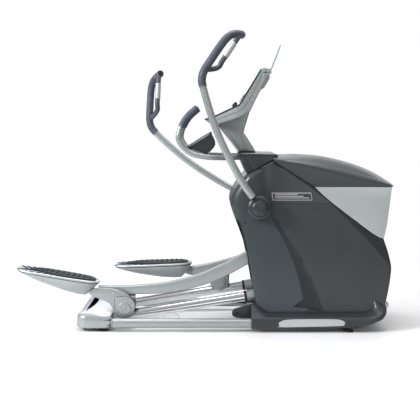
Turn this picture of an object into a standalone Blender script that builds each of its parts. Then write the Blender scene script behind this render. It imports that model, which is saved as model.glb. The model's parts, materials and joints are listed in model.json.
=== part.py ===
"""Front-drive elliptical trainer with roller foot links and swinging handles.

Metres, +Z up. +X is the drive end that the user faces, +Y is the user's left.
The rest pose has the right foot at the rear of its stroke and the left foot at the front.
"""
import math

import bmesh
import bpy
from mathutils import Vector

# Overall placing
CENTRE_SHIFT = 0.0102  # moves the whole machine so that its box is centred on X = 0
GAP = 0.0003  # between pieces that touch
TUBE_WALL = 0.003

# Rails and rollers
RAIL_SLOPE = math.radians(9.1)
RAIL_Y = 0.165
RAIL_RADIUS = 0.028
RAIL_REAR_X = -0.575
RAIL_FRONT_X = 0.2825
RAIL_DATUM = (-0.534, 0.050)  # a point on the rail's axis, X and Z
ROLLER_LIFT = 0.052  # roller axle above the rail's axis
ROLLER_RADIUS = 0.054
ROLLER_HALF_WIDTH = 0.036
GROOVE_RADIUS = 0.0285

# Crank and foot links
CRANK_CENTRE = (0.610, 0.575)
CRANK_RADIUS = 0.25
CRANK_ANGLE = math.radians(29.4)  # line through both pins at rest, above +X
LINK_LENGTH = 0.897  # roller axle to crank pin
LINK_HALF_WIDTH = 0.025
AXLE_RADIUS = 0.008
CRANK_ARM_Y = 0.125
CRANK_ARM_THICKNESS = 0.014
SHAFT_RADIUS = 0.0125

# Drive
PULLEY_RADIUS = 0.17
SHEAVE_RADIUS = 0.030
FLYWHEEL_CENTRE = (0.835, 0.320)
FLYWHEEL_RADIUS = 0.14
BELT_HALF_WIDTH = 0.008
BELT_THICKNESS = 0.003
IDLER_RADIUS = 0.022

# Handles
PIVOT = (0.288, 0.667)
HANDLE_SWING = math.radians(31)
HANDLE_Y = 0.33
HANDLE_INNER_Y = 0.222
HANDLE_RADIUS = 0.019
GRIP_RADIUS = 0.0215
GRIP_INNER_RADIUS = 0.0140
BAR_RADIUS = 0.015
BAR_GRIP_RADIUS = 0.0175
HUB_RADIUS = 0.066
SWITCH_SEAT = (0.1761, 0.2583, 1.5783)  # on the crossbar's axis, right side's sign left out
SWITCH_FACING = (-0.892, -0.452)
SWITCH_RADIUS = 0.006
SWITCH_TRAVEL = 0.0015
ROCKER_LENGTH = 0.25
ROCKER_PIN_RADIUS = 0.0078
HUB_BORE_RADIUS = 0.0132  # running fit on the pivot shaft
DRAG_LINK_LENGTH = 0.290
DRAG_LINK_ANGLE = math.radians(34.5)

# Shroud
SHELL_Y = 0.250
SHELL_WALL = 0.004
SHELL_BOTTOM = 0.0905
SKIRT_Y = 0.322
BASE_TUBE_Y = 0.288
BASE_TUBE_RADIUS = 0.026
BASE_TUBE_Z = 0.046
FEET = {"rear": (-0.548, 0.262), "front": (0.768, BASE_TUBE_Y)}  # X and Y of each pair
FOOT_TOP = 0.0197

# Colours: linear red, green, blue, roughness, metallic
FINISHES = {
    "silver_paint": (0.40, 0.42, 0.43, 0.35, 0.6),
    "slate_shell": (0.052, 0.066, 0.074, 0.45, 0.0),
    "dark_trim": (0.035, 0.044, 0.050, 0.5, 0.0),
    "accent_silver": (0.36, 0.38, 0.39, 0.3, 0.7),
    "grip_rubber": (0.10, 0.105, 0.14, 0.7, 0.0),
    "chrome": (0.62, 0.63, 0.65, 0.12, 1.0),
    "black_rubber": (0.012, 0.012, 0.014, 0.8, 0.0),
    "steel": (0.35, 0.35, 0.36, 0.4, 1.0),
    "pedal_grey": (0.42, 0.43, 0.45, 0.5, 0.0),
    "tread_rubber": (0.02, 0.024, 0.028, 0.85, 0.0),
    "console_black": (0.010, 0.011, 0.013, 0.25, 0.0),
    "console_grey": (0.33, 0.35, 0.36, 0.45, 0.0),
    "switch_orange": (0.75, 0.22, 0.04, 0.4, 0.0),
}

SIDES = {"right": -1, "left": 1}


# Scene helpers
def make_collection(name, hidden=False):
    collection = bpy.data.collections.new(name)
    collection.hide_render = hidden
    bpy.context.scene.collection.children.link(collection)
    return collection


def paint(obj, finish):
    """Gives an object its own material in one of the finishes."""
    red, green, blue, roughness, metallic = FINISHES[finish]
    material = bpy.data.materials.new(obj.name + "_" + finish)
    material.use_nodes = True
    shader = material.node_tree.nodes["Principled BSDF"]
    shader.inputs["Base Color"].default_value = (red, green, blue, 1.0)
    shader.inputs["Roughness"].default_value = roughness
    shader.inputs["Metallic"].default_value = metallic
    obj.data.materials.clear()
    obj.data.materials.append(material)


def add(name, data, parent=None, location=(0, 0, 0), rotation=(0, 0, 0)):
    obj = bpy.data.objects.new(name, data)
    PARTS.objects.link(obj)
    obj.location = location
    obj.rotation_euler = rotation
    obj.parent = parent or MACHINE
    return obj


def pivot_empty(name, x, z, tilt=0.0, parent=None, y=0.0):
    """An empty on a joint's axis; tilt turns it about +Y."""
    return add(name, None, parent, (x, y, z), (0, tilt, 0))


def as_mesh(obj):
    """Replaces a curve object, or one with modifiers, by its welded mesh."""
    bpy.context.view_layer.update()
    evaluated = obj.evaluated_get(bpy.context.evaluated_depsgraph_get())
    mesh = bpy.data.meshes.new_from_object(evaluated)
    welded = bmesh.new()
    welded.from_mesh(mesh)
    bmesh.ops.remove_doubles(welded, verts=welded.verts, dist=0.00002)
    bmesh.ops.recalc_face_normals(welded, faces=welded.faces)
    welded.to_mesh(mesh)
    welded.free()
    name = obj.name
    parent = obj.parent
    matrix = obj.matrix_world.copy()
    bpy.data.objects.remove(obj)
    new = bpy.data.objects.new(name, mesh)
    PARTS.objects.link(new)
    new.parent = parent
    bpy.context.view_layer.update()
    new.matrix_world = matrix
    return new


def combine(obj, other, operation):
    """Adds a Boolean with another object, which becomes a hidden cutter."""
    PARTS.objects.unlink(other)
    CUTTERS.objects.link(other)
    other.hide_render = True
    other.display_type = "WIRE"
    step = obj.modifiers.new(operation.lower(), "BOOLEAN")
    step.operation = operation
    step.solver = "EXACT"
    step.object = other
    return obj


def cut(obj, *cutters):
    for cutter in cutters:
        combine(obj, cutter, "DIFFERENCE")
    return obj


def join(obj, *others):
    for other in others:
        combine(obj, other, "UNION")
    return obj


def bevel(obj, width, segments=1):
    step = obj.modifiers.new("bevel", "BEVEL")
    step.width = width
    step.segments = segments
    step.limit_method = "ANGLE"
    step.angle_limit = math.radians(40)
    return obj


# Shape helpers
def block(name, low, high, parent=None):
    """A box between two corners, in its parent's frame."""
    mesh = bpy.data.meshes.new(name)
    shape = bmesh.new()
    bmesh.ops.create_cube(shape, size=1)
    size = Vector(high) - Vector(low)
    bmesh.ops.scale(shape, vec=size, verts=shape.verts)
    shape.to_mesh(mesh)
    shape.free()
    centre = (Vector(high) + Vector(low)) / 2
    return add(name, mesh, parent, centre)


def arc(centre, radius, start, end, count):
    """Points on an arc, from angle start to end in degrees."""
    points = []
    for i in range(count + 1):
        angle = math.radians(start + (end - start) * i / count)
        points.append((centre[0] + radius * math.cos(angle), centre[1] + radius * math.sin(angle)))
    return points


def circle(centre, radius, count=20):
    return arc(centre, radius, 0, 360 - 360 / count, count - 1)


def round_bar(start, end, start_radius, end_radius, count=8):
    """Outline of a bar with round ends of two radii."""
    angle = math.degrees(math.atan2(end[1] - start[1], end[0] - start[0]))
    tail = arc(start, start_radius, angle + 90, angle + 270, count)
    head = arc(end, end_radius, angle - 90, angle + 90, count)
    return tail + head


def smooth_line(points, steps):
    """A Catmull-Rom curve through the points, as a list of points."""
    found = []
    last = len(points) - 1
    for i in range(last):
        before = Vector(points[max(i - 1, 0)])
        start = Vector(points[i])
        end = Vector(points[i + 1])
        after = Vector(points[min(i + 2, last)])
        for k in range(steps):
            t = k / steps
            found.append(
                0.5
                * (
                    2 * start
                    + (end - before) * t
                    + (2 * before - 5 * start + 4 * end - after) * t**2
                    + (3 * start - before - 3 * end + after) * t**3
                )
            )
    found.append(Vector(points[last]))
    return [tuple(p) for p in found]


def lead_in(points, length=0.008):
    """Two points that carry a line on past its end, after the usual gap."""
    end = Vector(points[-1])
    along = (end - Vector(points[-2])).normalized()
    return [tuple(end + along * GAP), tuple(end + along * length)]


def extruded(name, outlines, low, high, parent, place, turn):
    """Flat outlines, the first solid and the others holes, extruded between two places along a direction."""
    curve = bpy.data.curves.new(name, "CURVE")
    curve.dimensions = "2D"
    curve.fill_mode = "BOTH"
    curve.extrude = (high - low) / 2
    for outline in outlines:
        spline = curve.splines.new("POLY")
        spline.points.add(len(outline) - 1)
        for point, corner in zip(spline.points, outline):
            point.co = (corner[0], corner[1], 0, 1)
        spline.use_cyclic_u = True
    middle = Vector(place) * (low + high) / 2
    return as_mesh(add(name, curve, parent, middle, turn))


def side_plate(name, outlines, low, high, parent=None):
    """Outlines in X and Z extruded between two Y."""
    return extruded(name, outlines, low, high, parent, (0, 1, 0), (math.pi / 2, 0, 0))


def plan_plate(name, outline, low, high, parent=None):
    """An outline in X and Y extruded between two Z."""
    return extruded(name, [outline], low, high, parent, (0, 0, 1), (0, 0, 0))


def end_plate(name, outline, low, high, parent=None):
    """An outline in Y and Z extruded between two X."""
    return extruded(name, [outline], low, high, parent, (1, 0, 0), (math.pi / 2, 0, math.pi / 2))


def tube(name, points, radius, parent=None, resolution=4):
    """A round bar along points, with filled caps."""
    curve = bpy.data.curves.new(name, "CURVE")
    curve.dimensions = "3D"
    curve.bevel_depth = radius
    curve.bevel_resolution = resolution
    curve.use_fill_caps = True
    spline = curve.splines.new("POLY")
    spline.points.add(len(points) - 1)
    for point, place in zip(spline.points, points):
        point.co = (*place, 1)
    return as_mesh(add(name, curve, parent))


def pipe(name, points, radius, wall, parent=None, resolution=4):
    """A tube that is open at both ends."""
    outer = tube(name, points, radius, parent, resolution)
    first = lead_in(points[::-1])[1]
    last = lead_in(points)[1]
    bore = tube("bore_cutter", [first, *points, last], radius - wall, parent, resolution)
    return cut(outer, bore)


def turned(name, profile, centre, parent=None, steps=24):
    """A profile of (radius, y) turned about an axis along +Y at an X and Z."""
    mesh = bpy.data.meshes.new(name)
    points = [(radius, 0, -along) for radius, along in profile]
    pairs = [(i, (i + 1) % len(points)) for i in range(len(points))]
    edges = [pair for pair in pairs if any(profile[i][0] > 0 for i in pair)]
    mesh.from_pydata(points, edges, [])
    obj = add(name, mesh, parent, (centre[0], 0, centre[1]), (math.pi / 2, 0, 0))
    screw = obj.modifiers.new("turn", "SCREW")
    screw.axis = "Z"
    screw.steps = steps
    screw.render_steps = steps
    screw.use_merge_vertices = True
    screw.merge_threshold = 0.00005
    return as_mesh(obj)


# Mechanism
def rail_point(x, lift=0.0):
    """The X and Z at lift above the rail's axis, at the axis's X."""
    z = RAIL_DATUM[1] + (x - RAIL_DATUM[0]) * math.tan(RAIL_SLOPE)
    return (x - lift * math.sin(RAIL_SLOPE), z + lift * math.cos(RAIL_SLOPE))


def link_pose(crank_angle):
    """The roller axle's X and Z, and the link's angle, for a crank pin's angle."""
    pin = Vector(CRANK_CENTRE) + CRANK_RADIUS * Vector((
        math.cos(crank_angle), math.sin(crank_angle),
    ))
    along = Vector((math.cos(RAIL_SLOPE), math.sin(RAIL_SLOPE)))
    start = Vector(rail_point(0, ROLLER_LIFT))
    reach = (pin - start).dot(along)
    height = (pin - start - reach * along).length
    back = math.sqrt(LINK_LENGTH**2 - height**2)
    axle = start + (reach - back) * along
    return axle, math.atan2(pin.y - axle.y, pin.x - axle.x)


def mirror_side(points, side):
    return [(x, side * y, z) for x, y, z in points]


# Floor parts
FOOT_PROFILE = [
    (0, 0), (0.008, 0), (0.008, 0.0057), (0.026, 0.0077), (0.026, FOOT_TOP), (0, FOOT_TOP),
]


def build_base():
    for name, side in SIDES.items():
        y = side * BASE_TUBE_Y
        ends = [(-0.497, y, BASE_TUBE_Z), (0.780, y, BASE_TUBE_Z)]
        paint(
            pipe(name + "_base_tube", ends, BASE_TUBE_RADIUS, TUBE_WALL, resolution=6),
            "silver_paint",
        )
        rail_y = side * RAIL_Y
        rear = rail_point(RAIL_REAR_X)
        front = rail_point(RAIL_FRONT_X)
        ends = [(rear[0], rail_y, rear[1]), (front[0], rail_y, front[1])]
        paint(pipe(name + "_rail", ends, RAIL_RADIUS, TUBE_WALL, resolution=6), "chrome")
        for end, (x, foot_y) in FEET.items():
            foot = turned(f"{name}_{end}_foot", FOOT_PROFILE, (0, 0), steps=16)
            foot.rotation_euler = (0, 0, 0)
            foot.location = (x, side * foot_y, FOOT_TOP)
            paint(foot, "black_rubber")


def build_rear_casting():
    half = 0.303
    outline = [(-0.697, 0.020), (-0.500, 0.020), (-0.500, 0.080), (-0.520, 0.092)]
    outline += smooth_line([(-0.560, 0.104), (-0.640, 0.110), (-0.685, 0.100), (-0.697, 0.080)], 3)
    casting = bevel(side_plate("rear_casting", [outline], -half, half), 0.004, 1)
    slot = [(-0.655, 0.270), (-0.655, -0.270)]
    slot += [(-0.655 + 0.040 * math.cos(turn), 0.270 * math.sin(turn)) for turn in (
        math.radians(angle) for angle in range(-75, 90, 15)
    )]
    cut(casting, plan_plate("hand_slot_cutter", slot, 0.0, 0.2))
    for side in SIDES.values():
        start = rail_point(RAIL_REAR_X - GAP)
        end = rail_point(-0.45)
        ends = [(start[0], side * RAIL_Y, start[1]), (end[0], side * RAIL_Y, end[1])]
        cut(casting, tube("rail_socket_cutter", ends, RAIL_RADIUS + GAP, resolution=6))
    paint(casting, "pedal_grey")


def build_frame():
    """Welded drive frame: floor beam, two plates, crossmembers and the mast's foot."""
    beam = block("drive_frame", (0.235, -0.059, 0.028), (0.905, 0.059, 0.088))
    crank = circle(CRANK_CENTRE, SHAFT_RADIUS + GAP * 2)
    wheel = circle(FLYWHEEL_CENTRE, AXLE_RADIUS + GAP * 2)
    shaft = circle(PIVOT, SHAFT_RADIUS - GAP * 4)
    outline = [
        (0.285, 0.080), (0.880, 0.080), (0.880, 0.340), (0.660, 0.620), (0.420, 0.900),
        (0.262, 0.900), (0.250, 0.740), (0.200, 0.690), (0.200, 0.620),
    ]
    plates = [side_plate(
        "frame_plate_cutter", [outline, crank, wheel], min(y), max(y),
    ) for y in ((0.0545, 0.059), (-0.059, -0.0545))]
    crossbars = [
        block("rail_bar_cutter", (0.2875, -0.205, 0.135), (0.325, 0.205, 0.225)),
        block("rear_bar_cutter", (0.255, -0.2616, 0.030), (0.300, 0.2616, 0.070)),
        block("front_bar_cutter", (0.730, -0.2616, 0.030), (0.775, 0.2616, 0.070)),
        block("mast_foot_cutter", (0.248, -0.055, 0.760), (0.275, 0.055, 0.930)),
    ]
    frame = join(beam, *plates, *crossbars)
    cut(frame, block("beam_channel_cutter", (0.240, -0.0545, 0.0), (0.900, 0.0545, 0.0835)))
    hub_bore = side_plate("hub_bore_cutter", [circle(PIVOT, SHAFT_RADIUS + GAP)], -0.08, 0.08)
    cut(frame, hub_bore)
    paint(frame, "steel")
    pivot = turned(
        "pivot_shaft", [(0, -0.312), (SHAFT_RADIUS, -0.312), (SHAFT_RADIUS, 0.312), (0, 0.312)],
        PIVOT,
    )
    paint(pivot, "steel")


# Drive train
def build_crank():
    crank = pivot_empty("crank", *CRANK_CENTRE)
    profile = [(0, -0.1178), (SHAFT_RADIUS, -0.1178), (SHAFT_RADIUS, 0.1178), (0, 0.1178)]
    paint(turned("crank_axle", profile, (0, 0), crank), "steel")
    bore = SHAFT_RADIUS + GAP
    profile = [
        (bore, 0.012), (bore, -0.012), (0.035, -0.012), (0.040, -0.004), (0.150, -0.004),
        (0.152, -0.009),
    ]
    profile += [
        (PULLEY_RADIUS, -0.009), (PULLEY_RADIUS, 0.009), (0.152, 0.009), (0.150, 0.004),
        (0.040, 0.004), (0.035, 0.012),
    ]
    paint(turned("drive_pulley", profile, (0, 0), crank, 28), "black_rubber")
    for name, side in SIDES.items():
        angle = CRANK_ANGLE if side > 0 else CRANK_ANGLE + math.pi
        pin = (CRANK_RADIUS * math.cos(angle), CRANK_RADIUS * math.sin(angle))
        low = side * CRANK_ARM_Y - CRANK_ARM_THICKNESS / 2
        arm = side_plate(
            name + "_crank_arm", [round_bar((0, 0), pin, 0.032, 0.026)], low,
            low + CRANK_ARM_THICKNESS, crank,
        )
        ends = sorted((side * 0.128, side * 0.1375))
        stub = side_plate("crank_pin_cutter", [circle(pin, SHAFT_RADIUS)], *ends, crank)
        paint(join(arm, stub), "steel")


def build_drive():
    wheel = pivot_empty("flywheel_spin", *FLYWHEEL_CENTRE)
    profile = [
        (0, -0.075), (AXLE_RADIUS, -0.075), (AXLE_RADIUS, -0.010), (SHEAVE_RADIUS, -0.010),
        (SHEAVE_RADIUS, 0.010),
    ]
    profile += [
        (AXLE_RADIUS, 0.010), (AXLE_RADIUS, 0.064), (0.030, 0.064), (0.032, 0.072),
        (0.105, 0.072), (0.107, 0.064),
    ]
    profile += [
        (FLYWHEEL_RADIUS, 0.064), (FLYWHEEL_RADIUS, 0.096), (0.107, 0.096), (0.105, 0.084),
        (0.030, 0.084), (0.028, 0.096), (0, 0.096),
    ]
    paint(turned("flywheel", profile, (0, 0), wheel, 22), "steel")
    paint(
        side_plate("drive_belt", belt_outlines(), -BELT_HALF_WIDTH, BELT_HALF_WIDTH),
        "black_rubber",
    )
    start, end, normal = belt_run(
        PULLEY_RADIUS + GAP + BELT_THICKNESS, SHEAVE_RADIUS + GAP + BELT_THICKNESS,
    )
    middle = start.lerp(end, 0.62) + normal * (IDLER_RADIUS + GAP)
    idler = pivot_empty("idler_spin", middle.x, middle.y)
    profile = [
        (0, -0.054), (0.006, -0.054), (0.006, -0.010), (IDLER_RADIUS, -0.010),
        (IDLER_RADIUS, 0.010), (0.006, 0.010), (0.006, 0.054), (0, 0.054),
    ]
    paint(turned("idler_pulley", profile, (0, 0), idler, 20), "steel")


def belt_run(big, small):
    """The belt's upper straight run: its two ends and the way out."""
    a = Vector(CRANK_CENTRE)
    b = Vector(FLYWHEEL_CENTRE)
    line = math.atan2(b.y - a.y, b.x - a.x)
    angle = line + math.acos((big - small) / (b - a).length)
    normal = Vector((math.cos(angle), math.sin(angle)))
    return a + big * normal, b + small * normal, normal


def belt_outlines():
    line = math.degrees(math.atan2(
        FLYWHEEL_CENTRE[1] - CRANK_CENTRE[1], FLYWHEEL_CENTRE[0] - CRANK_CENTRE[0],
    ))
    length = (Vector(CRANK_CENTRE) - Vector(FLYWHEEL_CENTRE)).length
    outlines = []
    for extra in (GAP + BELT_THICKNESS, GAP):
        big = PULLEY_RADIUS + extra
        small = SHEAVE_RADIUS + extra
        spread = math.degrees(math.acos((big - small) / length))
        around = arc(
            CRANK_CENTRE, big / math.cos(math.pi / 56), line + spread, line + 360 - spread, 28,
        )
        outlines.append(around + arc(
            FLYWHEEL_CENTRE, small / math.cos(math.pi / 32), line - spread, line + spread, 8,
        ))
    return outlines


# Foot links
LINK_TOP = [
    (-0.585, 0.230), (-0.466, 0.229), (-0.346, 0.234), (-0.220, 0.249), (-0.111, 0.273),
    (-0.029, 0.297), (0.080, 0.343), (0.221, 0.417), (0.345, 0.486),
]
LINK_BOTTOM = [
    (0.385, 0.431), (0.232, 0.349), (0.134, 0.294), (0.039, 0.250), (-0.084, 0.213),
    (-0.199, 0.192), (-0.330, 0.1835), (-0.585, 0.1815),
]
COVER = [
    (-0.652, 0.184), (-0.600, 0.224), (-0.530, 0.224), (-0.470, 0.212), (-0.420, 0.188),
    (-0.392, 0.150), (-0.383, 0.110), (-0.392, 0.078), (-0.420, 0.060), (-0.466, 0.060),
    (-0.494, 0.078), (-0.503, 0.108), (-0.520, 0.136), (-0.560, 0.158), (-0.610, 0.166),
]
BRACKET_TOP = 0.1795


def build_foot_link(name, side):
    right_axle, right_angle = link_pose(CRANK_ANGLE + math.pi)
    axle, angle = link_pose(CRANK_ANGLE) if side > 0 else (right_axle, right_angle)
    carriage = pivot_empty(name + "_stride", axle.x, axle.y)
    half = 0.0445
    low, high = sorted((side * (RAIL_Y - half), side * (RAIL_Y + half)))
    profile = [(0, low), (AXLE_RADIUS, low), (AXLE_RADIUS, high), (0, high)]
    paint(turned(name + "_roller_axle", profile, (0, 0), carriage, 16), "steel")
    build_roller(name, side, carriage)
    tilt = pivot_empty(name + "_link_tilt", 0, 0, right_angle - angle, carriage)
    offset = Vector((-right_axle.x, -right_axle.y))

    def local(points):
        return [tuple(Vector(p) + offset) for p in points]

    def span(inner, outer):
        return sorted((side * inner, side * outer))

    pin = (LINK_LENGTH * math.cos(right_angle), LINK_LENGTH * math.sin(right_angle))
    outline = local(smooth_line(LINK_TOP, 2)) + arc(pin, 0.032, 125, -60, 8)
    outline += local(smooth_line(LINK_BOTTOM, 2))
    inner = RAIL_Y - LINK_HALF_WIDTH
    outer = RAIL_Y + LINK_HALF_WIDTH
    eye = circle(pin, SHAFT_RADIUS + GAP, 16)
    bar = side_plate(name + "_link_bar", [outline, eye], *span(inner, outer), tilt)
    hollow = [(x, z - TUBE_WALL) for x, z in LINK_TOP[:-1]]
    hollow += [(x, z + TUBE_WALL) for x, z in LINK_BOTTOM[1:]]
    hollow[0] = (hollow[0][0] - 0.01, hollow[0][1])
    hollow[-1] = (hollow[-1][0] - 0.01, hollow[-1][1])
    cavity = side_plate(
        "bar_cavity_cutter", [local(hollow)], *span(inner + TUBE_WALL, outer - TUBE_WALL), tilt,
    )
    paint(cut(bevel(bar, 0.006, 1), cavity), "silver_paint")

    top = BRACKET_TOP - right_axle.y
    outline = [
        (-0.055, top), (-0.055, 0.010),
    ] + arc((0, 0), 0.026, 180, 360, 6) + [(0.050, 0.015), (0.055, top)]
    bracket = side_plate(
        name + "_roller_bracket", [outline], *span(RAIL_Y - half, RAIL_Y + half), tilt,
    )
    pocket = ROLLER_HALF_WIDTH + 0.0005
    ends = span(RAIL_Y - pocket, RAIL_Y + pocket)
    cut(
        bracket,
        block("wheel_pocket_cutter", (-0.08, ends[0], -0.08), (0.08, ends[1], top - 0.005), tilt),
    )
    bore = side_plate(
        "axle_bore_cutter", [circle((0, 0), AXLE_RADIUS + GAP * 1.5, 16)], *span(0.1, 0.23), tilt,
    )
    paint(cut(bracket, bore), "steel")
    cover = side_plate(
        name + "_roller_cover", [local(smooth_line(COVER + COVER[:1], 2)[:-1])],
        *span(RAIL_Y + half + GAP, 0.222), tilt,
    )
    paint(bevel(cover, 0.005, 1), "silver_paint")
    build_pedal(name, side, tilt, local)


def build_roller(name, side, carriage):
    spin = pivot_empty(name + "_roller_spin", 0, 0, 0, carriage, side * RAIL_Y)
    bore = AXLE_RADIUS + GAP
    profile = [(bore, ROLLER_HALF_WIDTH), (bore, -ROLLER_HALF_WIDTH)]
    profile += [
        (ROLLER_RADIUS - 0.003, -ROLLER_HALF_WIDTH), (ROLLER_RADIUS, -ROLLER_HALF_WIDTH + 0.002),
        (ROLLER_RADIUS, -0.0305),
    ]
    for i in range(11):
        along = 0.0255 * (i - 5) / 5
        profile.append((ROLLER_LIFT - math.sqrt(GROOVE_RADIUS**2 - along**2), along))
    profile += [
        (ROLLER_RADIUS, 0.0305), (ROLLER_RADIUS, ROLLER_HALF_WIDTH - 0.002),
        (ROLLER_RADIUS - 0.003, ROLLER_HALF_WIDTH),
    ]
    paint(turned(name + "_roller", profile, (0, 0), spin, 20), "black_rubber")


def pedal_plan(inset):
    """The pedal's outline from above: X along it from the heel, Y from its middle."""
    half = 0.092 - inset
    length = 0.452 - 2 * inset
    points = []
    for i in range(24):
        turn = 2 * math.pi * i / 24
        power = 2 / 3.2
        x = math.copysign(abs(math.cos(turn)) ** power, math.cos(turn))
        y = math.copysign(abs(math.sin(turn)) ** power, math.sin(turn))
        points.append((x * length / 2, y * half * (1 - 0.10 * x)))
    return points


def build_pedal(name, side, tilt, local):
    """A shallow tray sloping down to the front, with a rubber tread."""
    slope = math.radians(-9.8)
    middle = local([(-0.799, 0.289)])[0]
    y = side * 0.175
    seat = add(name + "_pedal_seat", None, tilt, (middle[0], y, middle[1]), (0, -slope, 0))
    base = plan_plate(name + "_pedal_base", pedal_plan(0), -0.090, 0.004, seat)
    low = [
        (-0.240, 0.010), (-0.240, -0.008), (-0.200, -0.022), (-0.110, -0.046), (0.000, -0.064),
        (0.100, -0.068), (0.190, -0.052),
    ]
    low += [(0.190, 0.0030 - 0.012), (0.240, -0.010), (0.240, 0.010)]
    belly = side_plate("pedal_belly_cutter", [low], -0.12, 0.12, seat)
    combine(base, belly, "INTERSECT")
    cut(base, block("link_end_cutter", *under_pedal(local, -0.5853, -0.3, 0.3), tilt))
    outboard = sorted((side * 0.2092, side * 0.3))
    cut(base, block("cover_room_cutter", *under_pedal(local, -0.656, *outboard), tilt))
    paint(base, "pedal_grey")
    tread = plan_plate(name + "_pedal_tread", pedal_plan(0.014), 0.004 + GAP, 0.016, seat)
    paint(bevel(tread, 0.004, 1), "tread_rubber")


def under_pedal(local, rear, y_low, y_high):
    """Two corners of a space under the pedal's front, level with the link bar's top."""
    low = local([(rear, 0.12)])[0]
    high = local([(-0.4, 0.2305)])[0]
    return (low[0], y_low, low[1]), (high[0], y_high, high[1])


# Handles
def build_handle(name, side):
    swing = 0.0 if side < 0 else -HANDLE_SWING
    body = pivot_empty(name + "_swing", *PIVOT, swing)

    def local(points):
        return [(x - PIVOT[0], side * y, z - PIVOT[1]) for x, y, z in points]

    profile = [
        (HUB_BORE_RADIUS, 0.3215), (HUB_BORE_RADIUS, 0.2125), (0.0225, 0.2125), (0.0225, 0.2545),
        (HUB_RADIUS, 0.2545), (HUB_RADIUS, 0.300),
    ]
    profile += [
        (0.060, 0.310), (0.043, 0.313), (0.043, 0.322), (0.034, 0.329), (0.020, 0.333),
        (0.0, 0.334),
    ]
    hub = [(radius, side * along) for radius, along in profile] + [(0.0, side * 0.3215)]
    paint(turned(name + "_hub", hub, (0, 0), body, 20), "dark_trim")

    foot = (0.2445, 0.288, 0.7345)
    path = [
        foot, (0.222, 0.300, 0.765), (0.176, 0.320, 0.838), (0.127, 0.330, 0.930),
        (0.088, HANDLE_Y, 1.010),
    ]
    path += [
        (0.054, HANDLE_Y, 1.090), (0.028, HANDLE_Y, 1.165), (0.004, HANDLE_Y, 1.245),
        (-0.0118, HANDLE_Y, 1.3047),
    ]
    arm = smooth_line(local(path), 2)
    paint(pipe(name + "_handle_tube", arm, HANDLE_RADIUS, TUBE_WALL, body, 3), "silver_paint")

    grip = [
        (-0.017, HANDLE_Y, 1.335), (-0.013, HANDLE_Y, 1.365), (0.002, HANDLE_Y, 1.398),
        (0.030, HANDLE_Y, 1.440),
    ]
    grip += [
        (0.083, HANDLE_Y, 1.517), (0.112, 0.327, 1.552), (0.135, 0.316, 1.569),
        (0.160, 0.290, 1.577), (0.193, 0.222, 1.579),
    ]
    outer = tube(
        name + "_handle_grip", lead_in(arm) + smooth_line(local(grip), 2), GRIP_RADIUS, body, 3,
    )
    inner = [
        (0.176, 0.240, 1.570), (0.162, HANDLE_INNER_Y, 1.548), (0.122, HANDLE_INNER_Y, 1.488),
        (0.090, HANDLE_INNER_Y, 1.442),
    ]
    inner += [(0.074, 0.230, 1.414), (0.050, 0.262, 1.400), (0.012, 0.318, 1.392)]
    join(
        outer,
        tube("grip_return_cutter", smooth_line(local(inner), 2), GRIP_INNER_RADIUS, body, 2),
    )
    build_thumb_switch(name, side, body, outer)
    paint(outer, "grip_rubber")
    build_rocker(name, side, body)


def build_thumb_switch(name, side, body, grip):
    """A push button in a recess on the crossbar of the grip, facing the user's thumb."""
    turn = side * math.atan2(SWITCH_FACING[1], SWITCH_FACING[0])
    seat = add(
        name + "_switch_press", None, body,
        (SWITCH_SEAT[0] - PIVOT[0], side * SWITCH_SEAT[1], SWITCH_SEAT[2] - PIVOT[1]),
        (0, 0, turn),
    )
    pocket = GRIP_RADIUS - 0.004
    hole = end_plate(
        "switch_recess_cutter", circle((0, 0), SWITCH_RADIUS + 2 * GAP, 12), pocket,
        GRIP_RADIUS + 0.01, seat,
    )
    cut(grip, hole)
    low = pocket + SWITCH_TRAVEL + GAP
    button = end_plate(
        name + "_thumb_switch", circle((0, 0), SWITCH_RADIUS, 12), low, low + 0.0052, seat,
    )
    paint(button, "switch_orange")


def build_rocker(name, side, body):
    """The lever inside the shroud, and the drag link that drives it from the crank."""
    low, high = sorted((side * 0.200, side * 0.212))
    end = (0, -ROCKER_LENGTH)
    bore = circle((0, 0), HUB_BORE_RADIUS, 20)
    lever = side_plate(
        name + "_rocker_lever", [round_bar((0, 0), end, 0.030, 0.018), bore], low, high, body,
    )
    pin = side_plate(
        "rocker_pin_cutter", [circle(end, ROCKER_PIN_RADIUS, 12)],
        *sorted((side * 0.206, side * 0.2245)), body,
    )
    paint(join(lever, pin), "steel")
    turn = left_drag_turn() if side > 0 else -DRAG_LINK_ANGLE
    drag = pivot_empty(name + "_drag_pivot", 0, -ROCKER_LENGTH, turn, body)
    low, high = sorted((side * 0.2145, side * 0.2245))
    eye = ROCKER_PIN_RADIUS + 2 * GAP
    holes = [circle((0, 0), eye, 12), circle((DRAG_LINK_LENGTH, 0), eye, 12)]
    link = side_plate(
        name + "_drag_link", [round_bar((0, 0), (DRAG_LINK_LENGTH, 0), 0.017, 0.017), *holes],
        low, high, drag,
    )
    paint(link, "steel")


def left_drag_turn():
    """The left drag link's turn about +Y in its rocker's frame: it points at the crank's centre."""
    swing = HANDLE_SWING
    end = (PIVOT[0] + ROCKER_LENGTH * math.sin(swing), PIVOT[1] - ROCKER_LENGTH * math.cos(swing))
    aim = math.atan2(CRANK_CENTRE[1] - end[1], CRANK_CENTRE[0] - end[0])
    return swing - aim


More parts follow.
